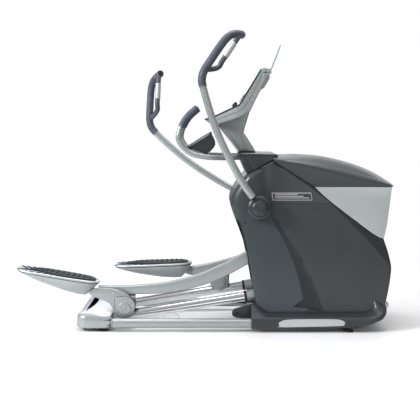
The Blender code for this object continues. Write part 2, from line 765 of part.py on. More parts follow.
# Shroud
SHELL_REAR = [
    (0.283, SHELL_BOTTOM), (0.264, 0.200), (0.246, 0.303), (0.215, 0.448), (0.177, 0.562),
    (0.147, 0.638), (0.136, 0.683), (0.143, 0.728), (0.177, 0.788), (0.222, 0.842),
]
SHELL_FRONT = [
    (1.000, 0.7775), (0.988, 0.683), (0.975, 0.570), (0.962, 0.493), (0.985, 0.430),
    (1.001, 0.360), (1.003, 0.320), (0.994, 0.240), (0.980, 0.165), (0.962, SHELL_BOTTOM),
]
LID_LINE = [(0.363, 0.9130), (0.582, 0.7775)]
LID_CROWN = [
    (1.003, 0.800), (0.925, 0.848), (0.811, 0.893), (0.660, 0.930), (0.509, 0.944),
    (0.400, 0.936), (0.363, 0.930),
]
PANEL = [
    (0.583, 0.7765), (0.680, 0.690), (0.703, 0.675), (0.809, 0.592), (0.901, 0.524),
    (0.958, 0.495), (0.973, 0.570), (0.986, 0.683), (0.996, 0.7765),
]


def shell_outline():
    rear = smooth_line(SHELL_REAR, 2)
    front = smooth_line(SHELL_FRONT[:4], 1) + smooth_line(SHELL_FRONT[4:], 2)
    return rear + LID_LINE + front


def shrink(outline, width):
    """The outline moved inwards by width, for a clockwise list of points."""
    count = len(outline)
    found = []
    for i, point in enumerate(outline):
        before = Vector(outline[i - 1])
        here = Vector(point)
        after = Vector(outline[(i + 1) % count])
        one = (here - before).normalized()
        two = (after - here).normalized()
        first = Vector((one.y, -one.x))
        second = Vector((two.y, -two.x))
        middle = (first + second).normalized()
        found.append(tuple(here + middle * width / max(middle.dot(first), 0.5)))
    return found


def build_shells():
    outline = shell_outline()
    inside = shrink(outline, SHELL_WALL)
    hub_hole = circle(PIVOT, 0.0240, 20)
    for name, side in SIDES.items():
        low, high = sorted((side * 0.0005, side * (SHELL_Y - 0.0043)))
        shell = side_plate(name + "_side_shell", [outline, hub_hole], low, high)
        low, high = sorted((-side * 0.02, side * (SHELL_Y - 0.0043 - SHELL_WALL)))
        hollow = side_plate("shell_hollow_cutter", [inside], low, high)
        low, high = sorted((-side * 0.02, side * 0.236))
        doorway = side_plate(
            "link_doorway_cutter", [[(0.05, 0.060), (0.05, 0.600), (0.30, 0.600), (0.30, 0.060)]],
            low, high,
        )
        roof = side_plate(
            "roof_cutter",
            [[(0.225, 0.80), (0.255, 1.0), (1.1, 1.0), (1.1, 0.7725), (0.583, 0.7725)]], low,
            high,
        )
        floor = side_plate(
            "floor_cutter", [[(0.1, 0.0), (0.1, 0.100), (1.1, 0.100), (1.1, 0.0)]], low, high,
        )
        cut(shell, hollow, doorway, roof, floor)
        paint(shell, "slate_shell")
        low, high = sorted((side * (SHELL_Y - 0.0040), side * SHELL_Y))
        paint(side_plate(name + "_accent_panel", [PANEL], low, high), "accent_silver")


def build_lid():
    outline = [(0.363, 0.9133), (0.582, 0.7778), (1.003, 0.7778)] + smooth_line(LID_CROWN, 2)
    lid = side_plate("top_lid", [outline], -SHELL_Y, SHELL_Y)
    inside = [
        (0.350, 0.780), (0.350, 0.880), (0.375, 0.928), (0.405, 0.931), (0.509, 0.939),
        (0.660, 0.925), (0.810, 0.888), (0.923, 0.843), (0.998, 0.797), (0.998, 0.700),
        (0.500, 0.700),
    ]
    wall = SHELL_Y - SHELL_WALL
    cut(lid, side_plate("lid_hollow_cutter", [inside], -wall, wall))
    paint(bevel(lid, 0.003, 1), "slate_shell")


def build_neck():
    """The collar where the mast enters the shroud, and the cover behind the hubs."""
    outline = [
        (0.180, 0.955), (0.384, 0.951), (0.398, 0.9387), (0.3622, 0.9315), (0.3622, 0.9140),
        (0.262, 0.8580), (0.222, 0.8450), (0.190, 0.905),
    ]
    collar = side_plate("neck_collar", [outline], -0.215, 0.215)
    inside = [
        (0.186, 0.950), (0.380, 0.9465), (0.352, 0.925), (0.352, 0.850), (0.262, 0.800),
        (0.227, 0.800), (0.197, 0.905),
    ]
    bevel(collar, 0.004, 1)
    cut(collar, side_plate("collar_hollow_cutter", [inside], -0.211, 0.211))
    paint(collar, "dark_trim")


def build_mast():
    outline = [
        (0.182, 0.9553), (0.280, 0.9553), (0.262, 0.985), (0.2105, 1.064), (0.222, 1.108),
        (0.062, 1.108), (0.091, 1.072), (0.140, 1.010),
    ]
    mast = side_plate("mast", [outline], -0.060, 0.060)
    paint(bevel(mast, 0.012, 2), "silver_paint")


def build_console():
    face = [(0.303, 1.407), (0.184, 1.212), (0.049, 1.150), (-0.003, 1.133)]
    back = [
        (0.020, 1.116), (0.062, 1.1085), (0.139, 1.1290), (0.188, 1.148), (0.238, 1.174),
        (0.268, 1.237), (0.301, 1.302), (0.331, 1.362), (0.354, 1.382), (0.348, 1.403),
        (0.314, 1.412),
    ]
    body = side_plate("console_housing", [face + back], -0.205, 0.205)
    bevel(body, 0.006, 1)
    paint(body, "console_grey")
    normal = Vector((-(1.407 - 1.212), 0.303 - 0.184)).normalized()
    low = Vector((0.192, 1.225))
    high = Vector((0.299, 1.400))
    front = [
        low + normal * 0.0003, high + normal * 0.0003, high + normal * 0.006,
        low + normal * 0.006,
    ]
    panel = side_plate("console_face", [[tuple(p) for p in front]], -0.196, 0.196)
    paint(panel, "console_black")
    rack = [
        (0.352, 1.4035), (0.3575, 1.4010), (0.372, 1.438), (0.382, 1.462), (0.406, 1.5285),
        (0.401, 1.530), (0.370, 1.452),
    ]
    paint(side_plate("reading_rack", [rack], -0.150, 0.150), "console_grey")


def build_fixed_bar():
    """The fixed handlebar: one tube each side, from the collar round and up to a grip."""
    half = [
        (0.168, 0.135, 0.930), (0.130, 0.165, 0.930), (0.097, 0.190, 0.930),
        (0.026, 0.225, 0.933), (-0.036, 0.235, 0.942), (-0.081, 0.235, 0.957),
    ]
    half += [
        (-0.117, 0.235, 0.984), (-0.138, 0.235, 1.018), (-0.143, 0.235, 1.041),
        (-0.137, 0.235, 1.072), (-0.131, 0.235, 1.088),
    ]
    grip = [(-0.109, 0.235, 1.130), (-0.081, 0.235, 1.164), (-0.045, 0.235, 1.195)]
    for name, side in SIDES.items():
        bar = smooth_line(mirror_side(half, side), 2)
        paint(tube(name + "_fixed_handlebar", bar, BAR_RADIUS), "silver_paint")
        cover = lead_in(bar) + smooth_line(mirror_side(grip, side), 2)
        paint(tube(name + "_fixed_grip", cover, BAR_GRIP_RADIUS), "grip_rubber")


def build_tray():
    """The tray between the fixed handlebars, with two bottle wells."""
    outline = [
        (-0.100, 0.990), (-0.110, 0.982), (-0.096, 0.972), (-0.070, 0.9745), (-0.030, 0.962),
        (0.010, 0.952), (0.054, 1.000), (0.036, 1.052), (0.023, 1.064),
    ]
    tray = side_plate("accessory_tray", [outline], -0.212, 0.212)
    for side in SIDES.values():
        well = block(
            "well_cutter", (-0.060, side * 0.12 - 0.045, 0.975),
            (0.015, side * 0.12 + 0.045, 1.2),
        )
        cut(tray, bevel(well, 0.015, 2))
    paint(bevel(tray, 0.003, 1), "dark_trim")


def build_skirt():
    """The low skirt round the shroud's foot: upright below, sloping in above."""
    bottom = 0.0200
    outer = [
        (-SKIRT_Y, bottom), (-SKIRT_Y, 0.080), (-0.262, 0.128), (0.262, 0.128), (SKIRT_Y, 0.080),
        (SKIRT_Y, bottom),
    ]
    skirt = end_plate("base_skirt", outer, 0.245, 0.982)
    room = 0.0045
    inner = [
        (-SKIRT_Y + room, bottom - 0.01), (-SKIRT_Y + room, 0.078), (-0.2585, 0.1225),
        (0.2585, 0.1225), (SKIRT_Y - room, 0.078), (SKIRT_Y - room, bottom - 0.01),
    ]
    hollow = end_plate("skirt_hollow_cutter", inner, 0.2495, 0.9775)
    top = block("skirt_top_cutter", (0.2, -0.2510, 0.0), (0.9775, 0.2510, 0.2))
    cut(skirt, hollow, top)
    for side in SIDES.values():
        ends = [(0.2, side * BASE_TUBE_Y, BASE_TUBE_Z), (0.3, side * BASE_TUBE_Y, BASE_TUBE_Z)]
        cut(skirt, tube("base_tube_cutter", ends, BASE_TUBE_RADIUS + GAP, resolution=6))
    front = side_plate(
        "skirt_nose_cutter", [[(0.979, 0.0), (1.1, 0.0), (1.1, 0.2), (0.979, 0.2)]], -0.4, 0.4,
    )
    cut(skirt, front)
    paint(skirt, "dark_trim")


def finish_shading():
    for obj in PARTS.objects:
        if obj.type == "MESH":
            obj.data.shade_smooth()
            obj.data.set_sharp_from_angle(angle=math.radians(35))


for old in list(bpy.data.objects):
    bpy.data.objects.remove(old)
PARTS = make_collection("elliptical_trainer")
CUTTERS = make_collection("cutters", hidden=True)
MACHINE = bpy.data.objects.new("machine", None)
PARTS.objects.link(MACHINE)
MACHINE.location = (CENTRE_SHIFT, 0, 0)

build_base()
build_rear_casting()
build_frame()
build_crank()
build_drive()
for side_name, side_sign in SIDES.items():
    build_foot_link(side_name, side_sign)
    build_handle(side_name, side_sign)
build_shells()
build_lid()
build_neck()
build_mast()
build_console()
build_fixed_bar()
build_tray()
build_skirt()
finish_shading()
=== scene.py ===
import json
import math

import bmesh
import bpy
from mathutils import Matrix, Vector
from mathutils.geometry import delaunay_2d_cdt


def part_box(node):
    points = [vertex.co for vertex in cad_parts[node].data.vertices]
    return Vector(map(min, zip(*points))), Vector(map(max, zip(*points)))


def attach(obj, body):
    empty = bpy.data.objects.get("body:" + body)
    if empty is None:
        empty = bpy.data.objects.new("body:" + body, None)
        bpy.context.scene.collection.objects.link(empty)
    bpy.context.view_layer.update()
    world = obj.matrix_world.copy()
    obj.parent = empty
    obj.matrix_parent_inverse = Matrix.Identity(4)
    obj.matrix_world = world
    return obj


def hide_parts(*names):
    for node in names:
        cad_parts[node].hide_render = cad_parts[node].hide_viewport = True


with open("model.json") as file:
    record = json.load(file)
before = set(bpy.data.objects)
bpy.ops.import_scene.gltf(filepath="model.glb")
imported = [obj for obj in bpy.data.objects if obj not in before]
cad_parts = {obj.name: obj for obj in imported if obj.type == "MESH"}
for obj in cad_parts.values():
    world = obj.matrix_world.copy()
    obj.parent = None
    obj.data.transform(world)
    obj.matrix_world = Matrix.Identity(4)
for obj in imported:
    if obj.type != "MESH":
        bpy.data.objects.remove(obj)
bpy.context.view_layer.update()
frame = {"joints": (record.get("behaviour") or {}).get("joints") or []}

# Driving dimensions, in metres. The joints are in the row frame, and the rest before its shift along X.
JOINTS = {joint["name"]: joint for joint in frame["joints"]}
FLAT = Vector((1, 0, 1))
PIVOT = Vector(JOINTS["right_swing"]["pos_m"]) * FLAT
RIGHT_AXLE = Vector(JOINTS["right_link_tilt"]["pos_m"]) * FLAT
LEFT_AXLE = Vector(JOINTS["left_link_tilt"]["pos_m"]) * FLAT
HANDLE_SWING = math.radians(31)
LINK_TILT = math.radians(11.715)
SHIFT = Vector((0.0102, 0, 0))
SIDES = {"right": -1, "left": 1}
SHELL_FACE = 0.2457
RAIL_Y = 0.165
BASE_TUBE_Y = 0.288
BASE_TUBE_Z = 0.046
HANDLE_Y = 0.33
HANDLE_INNER_Y = 0.222
HUB = (PIVOT.x - SHIFT.x, PIVOT.z)
SAME_POINT = 0.00002

RAIL_RADIUS = 0.028
RAIL_SLOPE = math.radians(9.1)
RAIL_LOW = (-0.534, 0.05)
TUBE_RADIUS = 0.026

CASTING_REAR = -0.697
CASTING_FRONT = -0.5003
CASTING_HALF = 0.303
CASTING_GAP = 0.03
CASTING_SHOULDER = 0.04
HAND_SLOT_X = -0.645

PEDAL_LENGTH = 0.452
PEDAL_HALF = 0.092
PEDAL_POWER = 3.2
PEDAL_TILT = math.radians(9.8)
PEDAL_X, PEDAL_Y, PEDAL_Z = -0.799, 0.175, 0.289

CONSOLE_HALF = 0.205

PLAIN = Matrix.Translation(SHIFT)


def handle_place(side):
    """The handle's place: as drawn on the right, swung towards the user on the left."""
    if side < 0:
        return PLAIN
    turn = Matrix.Rotation(-HANDLE_SWING, 4, "Y")
    return Matrix.Translation(PIVOT) @ turn @ Matrix.Translation(-PIVOT) @ PLAIN


def link_place(side):
    """The foot link's place: as drawn at the rear on the right, moved forward and tilted on the left."""
    if side < 0:
        return PLAIN
    turn = Matrix.Rotation(-LINK_TILT, 4, "Y")
    return Matrix.Translation(LEFT_AXLE) @ turn @ Matrix.Translation(-RIGHT_AXLE) @ PLAIN


# Materials
class Nodes:
    """A short way to add shader nodes and join them."""

    def __init__(self, name):
        self.material = bpy.data.materials.new(name)
        self.material.use_nodes = True
        self.tree = self.material.node_tree
        self.shader = self.tree.nodes["Principled BSDF"]
        self.place = self.add("ShaderNodeTexCoord").outputs["Object"]

    def add(self, kind, **settings):
        node = self.tree.nodes.new(kind)
        for key, value in settings.items():
            setattr(node, key, value)
        return node

    def join(self, source, target):
        self.tree.links.new(source, target)

    def mapped(self, scale):
        node = self.add("ShaderNodeMapping")
        node.inputs["Scale"].default_value = scale
        self.join(self.place, node.inputs["Vector"])
        return node.outputs["Vector"]

    def noise(self, scale, detail=3.0, rough=0.55, stretch=(1, 1, 1)):
        node = self.add("ShaderNodeTexNoise")
        node.inputs["Scale"].default_value = scale
        node.inputs["Detail"].default_value = detail
        node.inputs["Roughness"].default_value = rough
        self.join(self.mapped(stretch), node.inputs["Vector"])
        return node.outputs["Fac"]

    def cells(self, scale):
        node = self.add("ShaderNodeTexVoronoi")
        node.inputs["Scale"].default_value = scale
        self.join(self.place, node.inputs["Vector"])
        return node.outputs["Distance"]

    def spread(self, source, low, high, start=0.3, end=0.7):
        node = self.add("ShaderNodeMapRange")
        node.inputs["From Min"].default_value = start
        node.inputs["From Max"].default_value = end
        node.inputs["To Min"].default_value = low
        node.inputs["To Max"].default_value = high
        self.join(source, node.inputs["Value"])
        return node.outputs["Result"]

    def blend(self, factor, first, second):
        node = self.add("ShaderNodeMix", data_type="RGBA")
        node.inputs["A"].default_value = (*first, 1)
        node.inputs["B"].default_value = (*second, 1)
        self.join(factor, node.inputs["Factor"])
        return node.outputs["Result"]

    def bump(self, height, strength, distance):
        node = self.add("ShaderNodeBump")
        node.inputs["Strength"].default_value = strength
        node.inputs["Distance"].default_value = distance
        self.join(height, node.inputs["Height"])
        self.join(node.outputs["Normal"], self.shader.inputs["Normal"])

    def colour(self, output):
        self.join(output, self.shader.inputs["Base Color"])

    def roughness(self, output):
        self.join(output, self.shader.inputs["Roughness"])

    def fixed(self, **values):
        for key, value in values.items():
            self.shader.inputs[key.replace("_", " ")].default_value = value


def shade(colour, factor):
    return tuple(channel * factor for channel in colour)


def paint_material(name, colour, metallic=0.35, rough=0.34, coat=0.25):
    """Satin metallic paint: fine flake, faint mottling and a thin clear coat."""
    n = Nodes(name)
    n.colour(n.blend(n.spread(n.noise(160, 3), 0, 1), shade(colour, 0.95), shade(colour, 1.04)))
    n.roughness(n.spread(n.noise(14, 4), rough - 0.05, rough + 0.07))
    n.bump(n.noise(160, 2), 0.012, 0.0003)
    n.fixed(Metallic=metallic, Coat_Weight=coat, Coat_Roughness=0.18)
    return n.material


def moulded_material(name, colour, rough=0.42, grain=1500, depth=0.1, coat=0.0):
    """Moulded plastic: spark-eroded grain, soft sink marks and handling marks in the gloss."""
    n = Nodes(name)
    n.colour(n.blend(n.spread(n.noise(6, 3), 0, 1), shade(colour, 0.93), shade(colour, 1.07)))
    n.roughness(n.spread(n.noise(22, 5, 0.65), rough - 0.06, rough + 0.08))
    n.bump(n.cells(grain), depth, 0.0003)
    n.fixed(Specular_IOR_Level=0.45, Coat_Weight=coat, Coat_Roughness=0.12)
    return n.material


def rubber_material(name, colour, rough=0.75, pebble=700, depth=0.35):
    """Rubber: a pebbled skin with dusty, uneven gloss."""
    n = Nodes(name)
    n.colour(n.blend(n.spread(n.noise(30, 4), 0, 1), shade(colour, 0.82), shade(colour, 1.22)))
    n.roughness(n.spread(n.noise(60, 4), rough - 0.1, rough + 0.08))
    n.bump(n.cells(pebble), depth, 0.0005)
    n.fixed(Specular_IOR_Level=0.35)
    return n.material


def metal_material(name, colour, rough=0.12, stretch=(1, 60, 60), lines=40, depth=0.04):
    """Metal with fine drawn lines along one direction."""
    n = Nodes(name)
    marks = n.noise(lines, 5, 0.6, stretch)
    n.colour(n.blend(n.spread(marks, 0, 1), shade(colour, 0.9), shade(colour, 1.05)))
    n.roughness(n.spread(marks, rough * 0.75, rough * 1.35))
    n.bump(marks, depth, 0.0003)
    n.fixed(Metallic=1.0)
    return n.material


def gloss_material(name, colour, rough=0.08):
    """Polished plastic with faint wipe marks."""
    n = Nodes(name)
    n.colour(n.blend(n.spread(n.noise(40, 5), 0, 1), shade(colour, 0.85), shade(colour, 1.15)))
    n.roughness(n.spread(n.noise(9, 6, 0.7), rough * 0.6, rough * 2.0))
    n.bump(n.noise(18, 2), 0.03, 0.0005)
    n.fixed(Coat_Weight=0.6, Coat_Roughness=0.05)
    return n.material


def glow_material(name, colour, strength):
    """A small lit lens with a mottled diffuser."""
    n = Nodes(name)
    n.colour(n.blend(n.spread(n.noise(500, 3), 0, 1), shade(colour, 0.8), colour))
    n.bump(n.cells(900), 0.2, 0.0002)
    n.fixed(Emission_Color=(*colour, 1), Emission_Strength=strength)
    return n.material


SILVER = paint_material("silver_paint_fine", (0.33, 0.36, 0.365), 0.45)
SLATE = moulded_material("slate_shell_fine", (0.031, 0.038, 0.043), 0.38, 300, 0.015, 0.15)
# Copies of the shroud's slate: darker in the groove and in the facet under the silver panel as painted shade, lighter
# on the rounded rear column as a painted highlight.
SLATE_GROOVE_PAINTED_SHADE = moulded_material("slate_groove_painted_shade", (0.019, 0.0245, 0.0285), 0.46, 300, 0.015)
SLATE_FACET_PAINTED_SHADE = moulded_material("slate_facet_painted_shade", (0.02, 0.027, 0.032), 0.42, 300, 0.02)
SLATE_REAR_PAINTED_HIGHLIGHT = moulded_material("slate_rear_painted_highlight", (0.034, 0.046, 0.053), 0.36, 300, 0.015, 0.2)
DARK = moulded_material("dark_trim_fine", (0.027, 0.033, 0.037), 0.36, 300, 0.03)
ACCENT = paint_material("accent_silver_fine", (0.5, 0.535, 0.55), 0.55, 0.36, 0.3)
GRIP = rubber_material("grip_rubber_fine", (0.068, 0.078, 0.104), 0.5, 700, 0.05)
GRIP_END = rubber_material("grip_end_fine", (0.17, 0.175, 0.18), 0.55, 900, 0.25)
CHROME = metal_material("chrome_fine", (0.78, 0.79, 0.81), 0.11, (1, 20, 20), 20, 0.01)
BLACK = rubber_material("black_rubber_fine", (0.01, 0.01, 0.011), 0.55, 500, 0.35)
STEEL = metal_material("steel_fine", (0.42, 0.43, 0.44), 0.32, (30, 2, 30), 30, 0.1)
IRON = metal_material("iron_fine", (0.16, 0.16, 0.165), 0.4, (8, 8, 8), 25, 0.2)
PEDAL = moulded_material("pedal_grey_fine", (0.36, 0.39, 0.395), 0.4, 300, 0.015)
# The upward faces' own silver, made pale and lavender as a painted reflection of the light from above.
PALE_SILVER_PAINTED_SHEEN = gloss_material("pale_silver_painted_sheen", (0.66, 0.68, 0.78), 0.1)
TREAD = rubber_material("tread_rubber_fine", (0.018, 0.024, 0.028), 0.62, 450, 0.45)
FACE = gloss_material("console_black_fine", (0.006, 0.007, 0.008))
CONSOLE = moulded_material("console_grey_fine", (0.34, 0.37, 0.375), 0.42, 120, 0.01)
ORANGE = gloss_material("switch_orange_fine", (0.75, 0.2, 0.03), 0.25)
CONTACT = paint_material("contact_steel", (0.5, 0.51, 0.53), 0.5, 0.4, 0.1)
GREEN = glow_material("green_lamp", (0.1, 0.85, 0.2), 1.6)
# Near-black painted shade, for thin seams, slits, creases and recess outlines where only shade falls.
SHADOW = moulded_material("painted_recess_shade", (0.008, 0.009, 0.01), 0.6)


# Mesh making
def piece(name, mesh, material, body="frame", place=PLAIN, nodes=(), sharp=40):
    """A finished piece: its mesh in the part's frame, put in place, riding on a body, with its material."""
    mesh.transform(place)
    mesh.shade_smooth()
    mesh.set_sharp_from_angle(angle=math.radians(sharp))
    obj = bpy.data.objects.new(name, mesh)
    bpy.context.scene.collection.objects.link(obj)
    mesh.materials.append(material)
    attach(obj, body)
    if nodes:
        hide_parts(*nodes)
    return obj


def cleaned(mesh):
    """The mesh with doubled points merged and its faces turned outwards."""
    shape = bmesh.new()
    shape.from_mesh(mesh)
    bmesh.ops.remove_doubles(shape, verts=shape.verts, dist=SAME_POINT)
    bmesh.ops.recalc_face_normals(shape, faces=shape.faces)
    shape.to_mesh(mesh)
    shape.free()
    return mesh


def mesh_of(name, points, faces):
    mesh = bpy.data.meshes.new(name)
    mesh.from_pydata([tuple(p) for p in points], [], faces)
    return cleaned(mesh)


def joined(name, meshes):
    """Several meshes as one."""
    shape = bmesh.new()
    for mesh in meshes:
        shape.from_mesh(mesh)
        bpy.data.meshes.remove(mesh)
    mesh = bpy.data.meshes.new(name)
    shape.to_mesh(mesh)
    shape.free()
    return mesh


def evaluated(name, obj):
    """The mesh of an object with its modifiers, and the object removed."""
    bpy.context.scene.collection.objects.link(obj)
    bpy.context.view_layer.update()
    graph = bpy.context.evaluated_depsgraph_get()
    mesh = bpy.data.meshes.new_from_object(obj.evaluated_get(graph))
    mesh.transform(obj.matrix_world)
    mesh.name = name
    bpy.data.objects.remove(obj)
    return cleaned(mesh)


def smooth_line(points, steps=6):
    """A Catmull-Rom curve through the points."""
    found = []
    last = len(points) - 1
    for i in range(last):
        before = Vector(points[max(i - 1, 0)])
        start = Vector(points[i])
        end = Vector(points[i + 1])
        after = Vector(points[min(i + 2, last)])
        for k in range(steps):
            t = k / steps
            square = (2 * before - 5 * start + 4 * end - after) * t**2
            cube = (3 * start - before - 3 * end + after) * t**3
            found.append(0.5 * (2 * start + (end - before) * t + square + cube))
    found.append(Vector(points[last]))
    return found


def arc(centre, radius, start, end, count):
    points = []
    for i in range(count + 1):
        angle = math.radians(start + (end - start) * i / count)
        points.append((centre[0] + radius * math.cos(angle), centre[1] + radius * math.sin(angle)))
    return points


def circle(centre, radius, count=32):
    return arc(centre, radius, 0, 360 - 360 / count, count - 1)


def rings(name, loops, closed=False, cap=True):
    """A skin over loops of the same number of points."""
    count = len(loops[0])
    points = [p for loop in loops for p in loop]
    faces = []
    spans = len(loops) if closed else len(loops) - 1
    for i in range(spans):
        j = (i + 1) % len(loops)
        for k in range(count):
            m = (k + 1) % count
            faces.append((i * count + k, i * count + m, j * count + m, j * count + k))
    if cap and not closed:
        faces.append(tuple(range(count))[::-1])
        faces.append(tuple(range((len(loops) - 1) * count, len(loops) * count)))
    return mesh_of(name, points, faces)


def rod(name, points, radius, sides=24, ends="chamfer", steps=None):
    """A bar along a smooth line, with chamfered or domed ends."""
    line = smooth_line(points, steps) if steps else [Vector(p) for p in points]
    radii = [radius] * len(line)
    first = (line[0] - line[1]).normalized()
    last = (line[-1] - line[-2]).normalized()
    if ends == "dome":
        turns = [math.radians(a) for a in (15, 30, 45, 60, 75, 88)]
        head = [(line[0] - first * radius + first * radius * math.sin(a), radius * math.cos(a)) for a in turns]
        tail = [(line[-1] - last * radius + last * radius * math.sin(a), radius * math.cos(a)) for a in turns]
        line[0] = line[0] - first * radius
        line[-1] = line[-1] - last * radius
    else:
        edge = min(radius * 0.12, 0.002)
        head = [(line[0], radius - edge)]
        tail = [(line[-1], radius - edge)]
        line[0] = line[0] - first * edge
        line[-1] = line[-1] - last * edge
    line = [p for p, _ in head[::-1]] + line + [p for p, _ in tail]
    radii = [r for _, r in head[::-1]] + radii + [r for _, r in tail]
    forward = (line[1] - line[0]).normalized()
    side = forward.orthogonal().normalized()
    if abs(forward.y) < 0.9:
        side = forward.cross(Vector((0, 1, 0))).normalized()
    loops = []
    for i, centre in enumerate(line):
        here = (line[min(i + 1, len(line) - 1)] - line[max(i - 1, 0)]).normalized()
        side = (side - side.dot(here) * here).normalized()
        up = here.cross(side)
        loop = []
        for k in range(sides):
            angle = 2 * math.pi * k / sides
            loop.append(centre + radii[i] * (math.cos(angle) * side + math.sin(angle) * up))
        loops.append(loop)
    return rings(name, loops)


def lathe(name, profile, centre, steps=48, side=1):
    """A profile of (radius, y) turned about an axis along Y at an X and Z. Y is mirrored for side -1."""
    points = []
    faces = []
    for radius, along in profile:
        for k in range(steps):
            angle = 2 * math.pi * k / steps
            points.append((centre[0] + radius * math.cos(angle), side * along, centre[1] + radius * math.sin(angle)))
    count = len(profile)
    closing = 0 if profile[0][0] == 0 and profile[-1][0] == 0 else 1
    for i in range(count - 1 + closing):
        j = (i + 1) % count
        for k in range(steps):
            m = (k + 1) % steps
            faces.append((i * steps + k, i * steps + m, j * steps + m, j * steps + k))
    return mesh_of(name, points, faces)


def plate(name, outlines, low, high, axis="Y", edge=0.0, round_steps=3):
    """Outlines extruded along Y or Z, the first solid and the others holes, with rounded edges."""
    curve = bpy.data.curves.new(name, "CURVE")
    curve.dimensions = "2D"
    curve.fill_mode = "BOTH"
    curve.extrude = abs(high - low) / 2 - edge
    curve.bevel_depth = edge
    curve.bevel_resolution = round_steps
    curve.offset = -edge
    for outline in outlines:
        spline = curve.splines.new("POLY")
        spline.points.add(len(outline) - 1)
        for point, corner in zip(spline.points, outline):
            point.co = (corner[0], corner[1], 0, 1)
        spline.use_cyclic_u = True
    obj = bpy.data.objects.new(name, curve)
    middle = (low + high) / 2
    if axis == "Y":
        obj.matrix_world = Matrix.Translation((0, middle, 0)) @ Matrix.Rotation(math.pi / 2, 4, "X")
    else:
        obj.matrix_world = Matrix.Translation((0, 0, middle))
    mesh = evaluated(name, obj)
    bpy.data.curves.remove(curve)
    return mesh


def across(points, side):
    return [(p[0], side * p[1], p[2]) for p in points]


def span(side, low, high):
    return sorted((side * low, side * high))


def screw_head(name, centre, radius, side, depth=0.002, y=0.0):
    """A domed screw head with a cross recess, on a face square to Y."""
    x, z = centre
    dome = [(0, y + depth), (radius * 0.55, y + depth * 0.92), (radius * 0.9, y + depth * 0.5), (radius, y), (0, y)]
    head = lathe(name, dome, centre, 20, side)
    arm = radius * 0.55
    thin = radius * 0.14
    slots = []
    for wide, tall in ((arm, thin), (thin, arm)):
        corners = [(x - wide, z - tall), (x + wide, z - tall), (x + wide, z + tall), (x - wide, z + tall)]
        slots.append(plate(name, [corners], *span(side, y + depth * 0.97, y + depth * 1.03)))
    return joined(name, [head, *slots])


# Floor parts
def build_base():
    for name, side in SIDES.items():
        y = side * BASE_TUBE_Y
        tube = rod("tube", [(-0.497, y, BASE_TUBE_Z), (0.2, y, BASE_TUBE_Z), (0.78, y, BASE_TUBE_Z)], TUBE_RADIUS, 40)
        piece(name + "_floor_tube", tube, SILVER, nodes=[name + "_base_tube"])
        collar = rod("collar", [(-0.5035, y, BASE_TUBE_Z), (-0.4975, y, BASE_TUBE_Z)], 0.0262, 40)
        piece(name + "_tube_collar", collar, SILVER)
        build_rail(name, side)
        for end in ("rear", "front"):
            build_foot(name, end)
    hoop = [(-0.229, -0.288, 0.068), (-0.222, -0.288, 0.088), (-0.205, -0.288, 0.101), (-0.184, -0.288, 0.106)]
    hoop += [(-0.163, -0.288, 0.101), (-0.146, -0.288, 0.088), (-0.139, -0.288, 0.068)]
    piece("cable_hoop", rod("hoop", hoop, 0.0016, 10, steps=5), SILVER)


def build_rail(name, side):
    y = side * RAIL_Y

    def at(x):
        return Vector((x, y, RAIL_LOW[1] + (x - RAIL_LOW[0]) * math.tan(RAIL_SLOPE)))

    rail = rod("rail", [at(-0.575), at(-0.15), at(0.2825)], RAIL_RADIUS, 56)
    piece(name + "_rail_tube", rail, CHROME, nodes=[name + "_rail"])
    sleeve = rod("sleeve", [at(0.228), at(0.2805)], 0.0305, 48)
    piece(name + "_rail_sleeve", sleeve, SILVER)
    stop = rod("stop", [at(0.214), at(0.2275)], 0.03, 48)
    piece(name + "_rail_stop", stop, BLACK)


def build_foot(name, end):
    low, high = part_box(f"{name}_{end}_foot")
    middle = (low + high) / 2
    loops = []
    profile = [
        (0.3, 0.0), (0.85, 0.0), (0.97, 0.0008), (1.0, 0.003), (1.0, 0.008), (0.93, 0.0105), (0.62, 0.0125),
        (0.42, 0.0135), (0.42, 0.0197),
    ]
    radius = (high.x - low.x) / 2
    for share, z in profile:
        loops.append([(middle.x + radius * share * math.cos(a), middle.y + radius * share * math.sin(a), z)
                      for a in [2 * math.pi * k / 40 for k in range(40)]])
    mesh = rings("foot", loops)
    piece(f"{name}_{end}_levelling_foot", mesh, BLACK, place=Matrix.Identity(4), nodes=[f"{name}_{end}_foot"])


def casting_plan(inset):
    """The casting's outline from above, with big round rear corners."""
    rear = CASTING_REAR + inset
    front = CASTING_FRONT - inset
    half = CASTING_HALF - inset
    radius = max(0.06 - inset, 0.01)
    points = [(front, -half)]
    points += arc((rear + radius, -half + radius), radius, 270, 180, 8)
    points += arc((rear + radius, half - radius), radius, 180, 90, 8)
    points += [(front, half)]
    return points


def build_rear_casting():
    """A cast cross member: rounded walls, and a glossy top plate with a D-shaped hand slot, its pale lavender a painted
    reflection of the light from above.
    """
    slot = [(HAND_SLOT_X, -0.268)]
    for i in range(13):
        t = -1 + 2 * i / 12
        slot.append((HAND_SLOT_X + 0.0025 + 0.034 * (1 - t * t), 0.264 * t))
    slot.append((HAND_SLOT_X, 0.268))
    walls = [(0.006, 0.0203), (0.0015, 0.024), (0.0, 0.032), (0.0, 0.06), (0.002, 0.075), (0.0055, 0.083)]
    loops = []
    for inset, z in walls:
        loops.append([(x, y, z) for x, y in resample(casting_plan(inset), CASTING_GAP)])
    lower = rings("casting_wall", loops, cap=False)
    crown = casting_crown(0.0055, slot, 0.0835)
    rim = casting_crown(0.009, slot, 0.086)
    piece("rear_casting_body", joined("casting", [lower, crown]), SILVER, nodes=["rear_casting"], sharp=35)
    piece("rear_casting_plate", rim, PALE_SILVER_PAINTED_SHEEN, sharp=35)


def casting_top(x):
    """Height of the casting's crown along X, above its walls' top."""
    t = (x - CASTING_REAR) / 0.197
    return 0.0235 * math.sin(math.pi * min(max(t, 0.0), 1.0) ** 0.75) ** 0.8


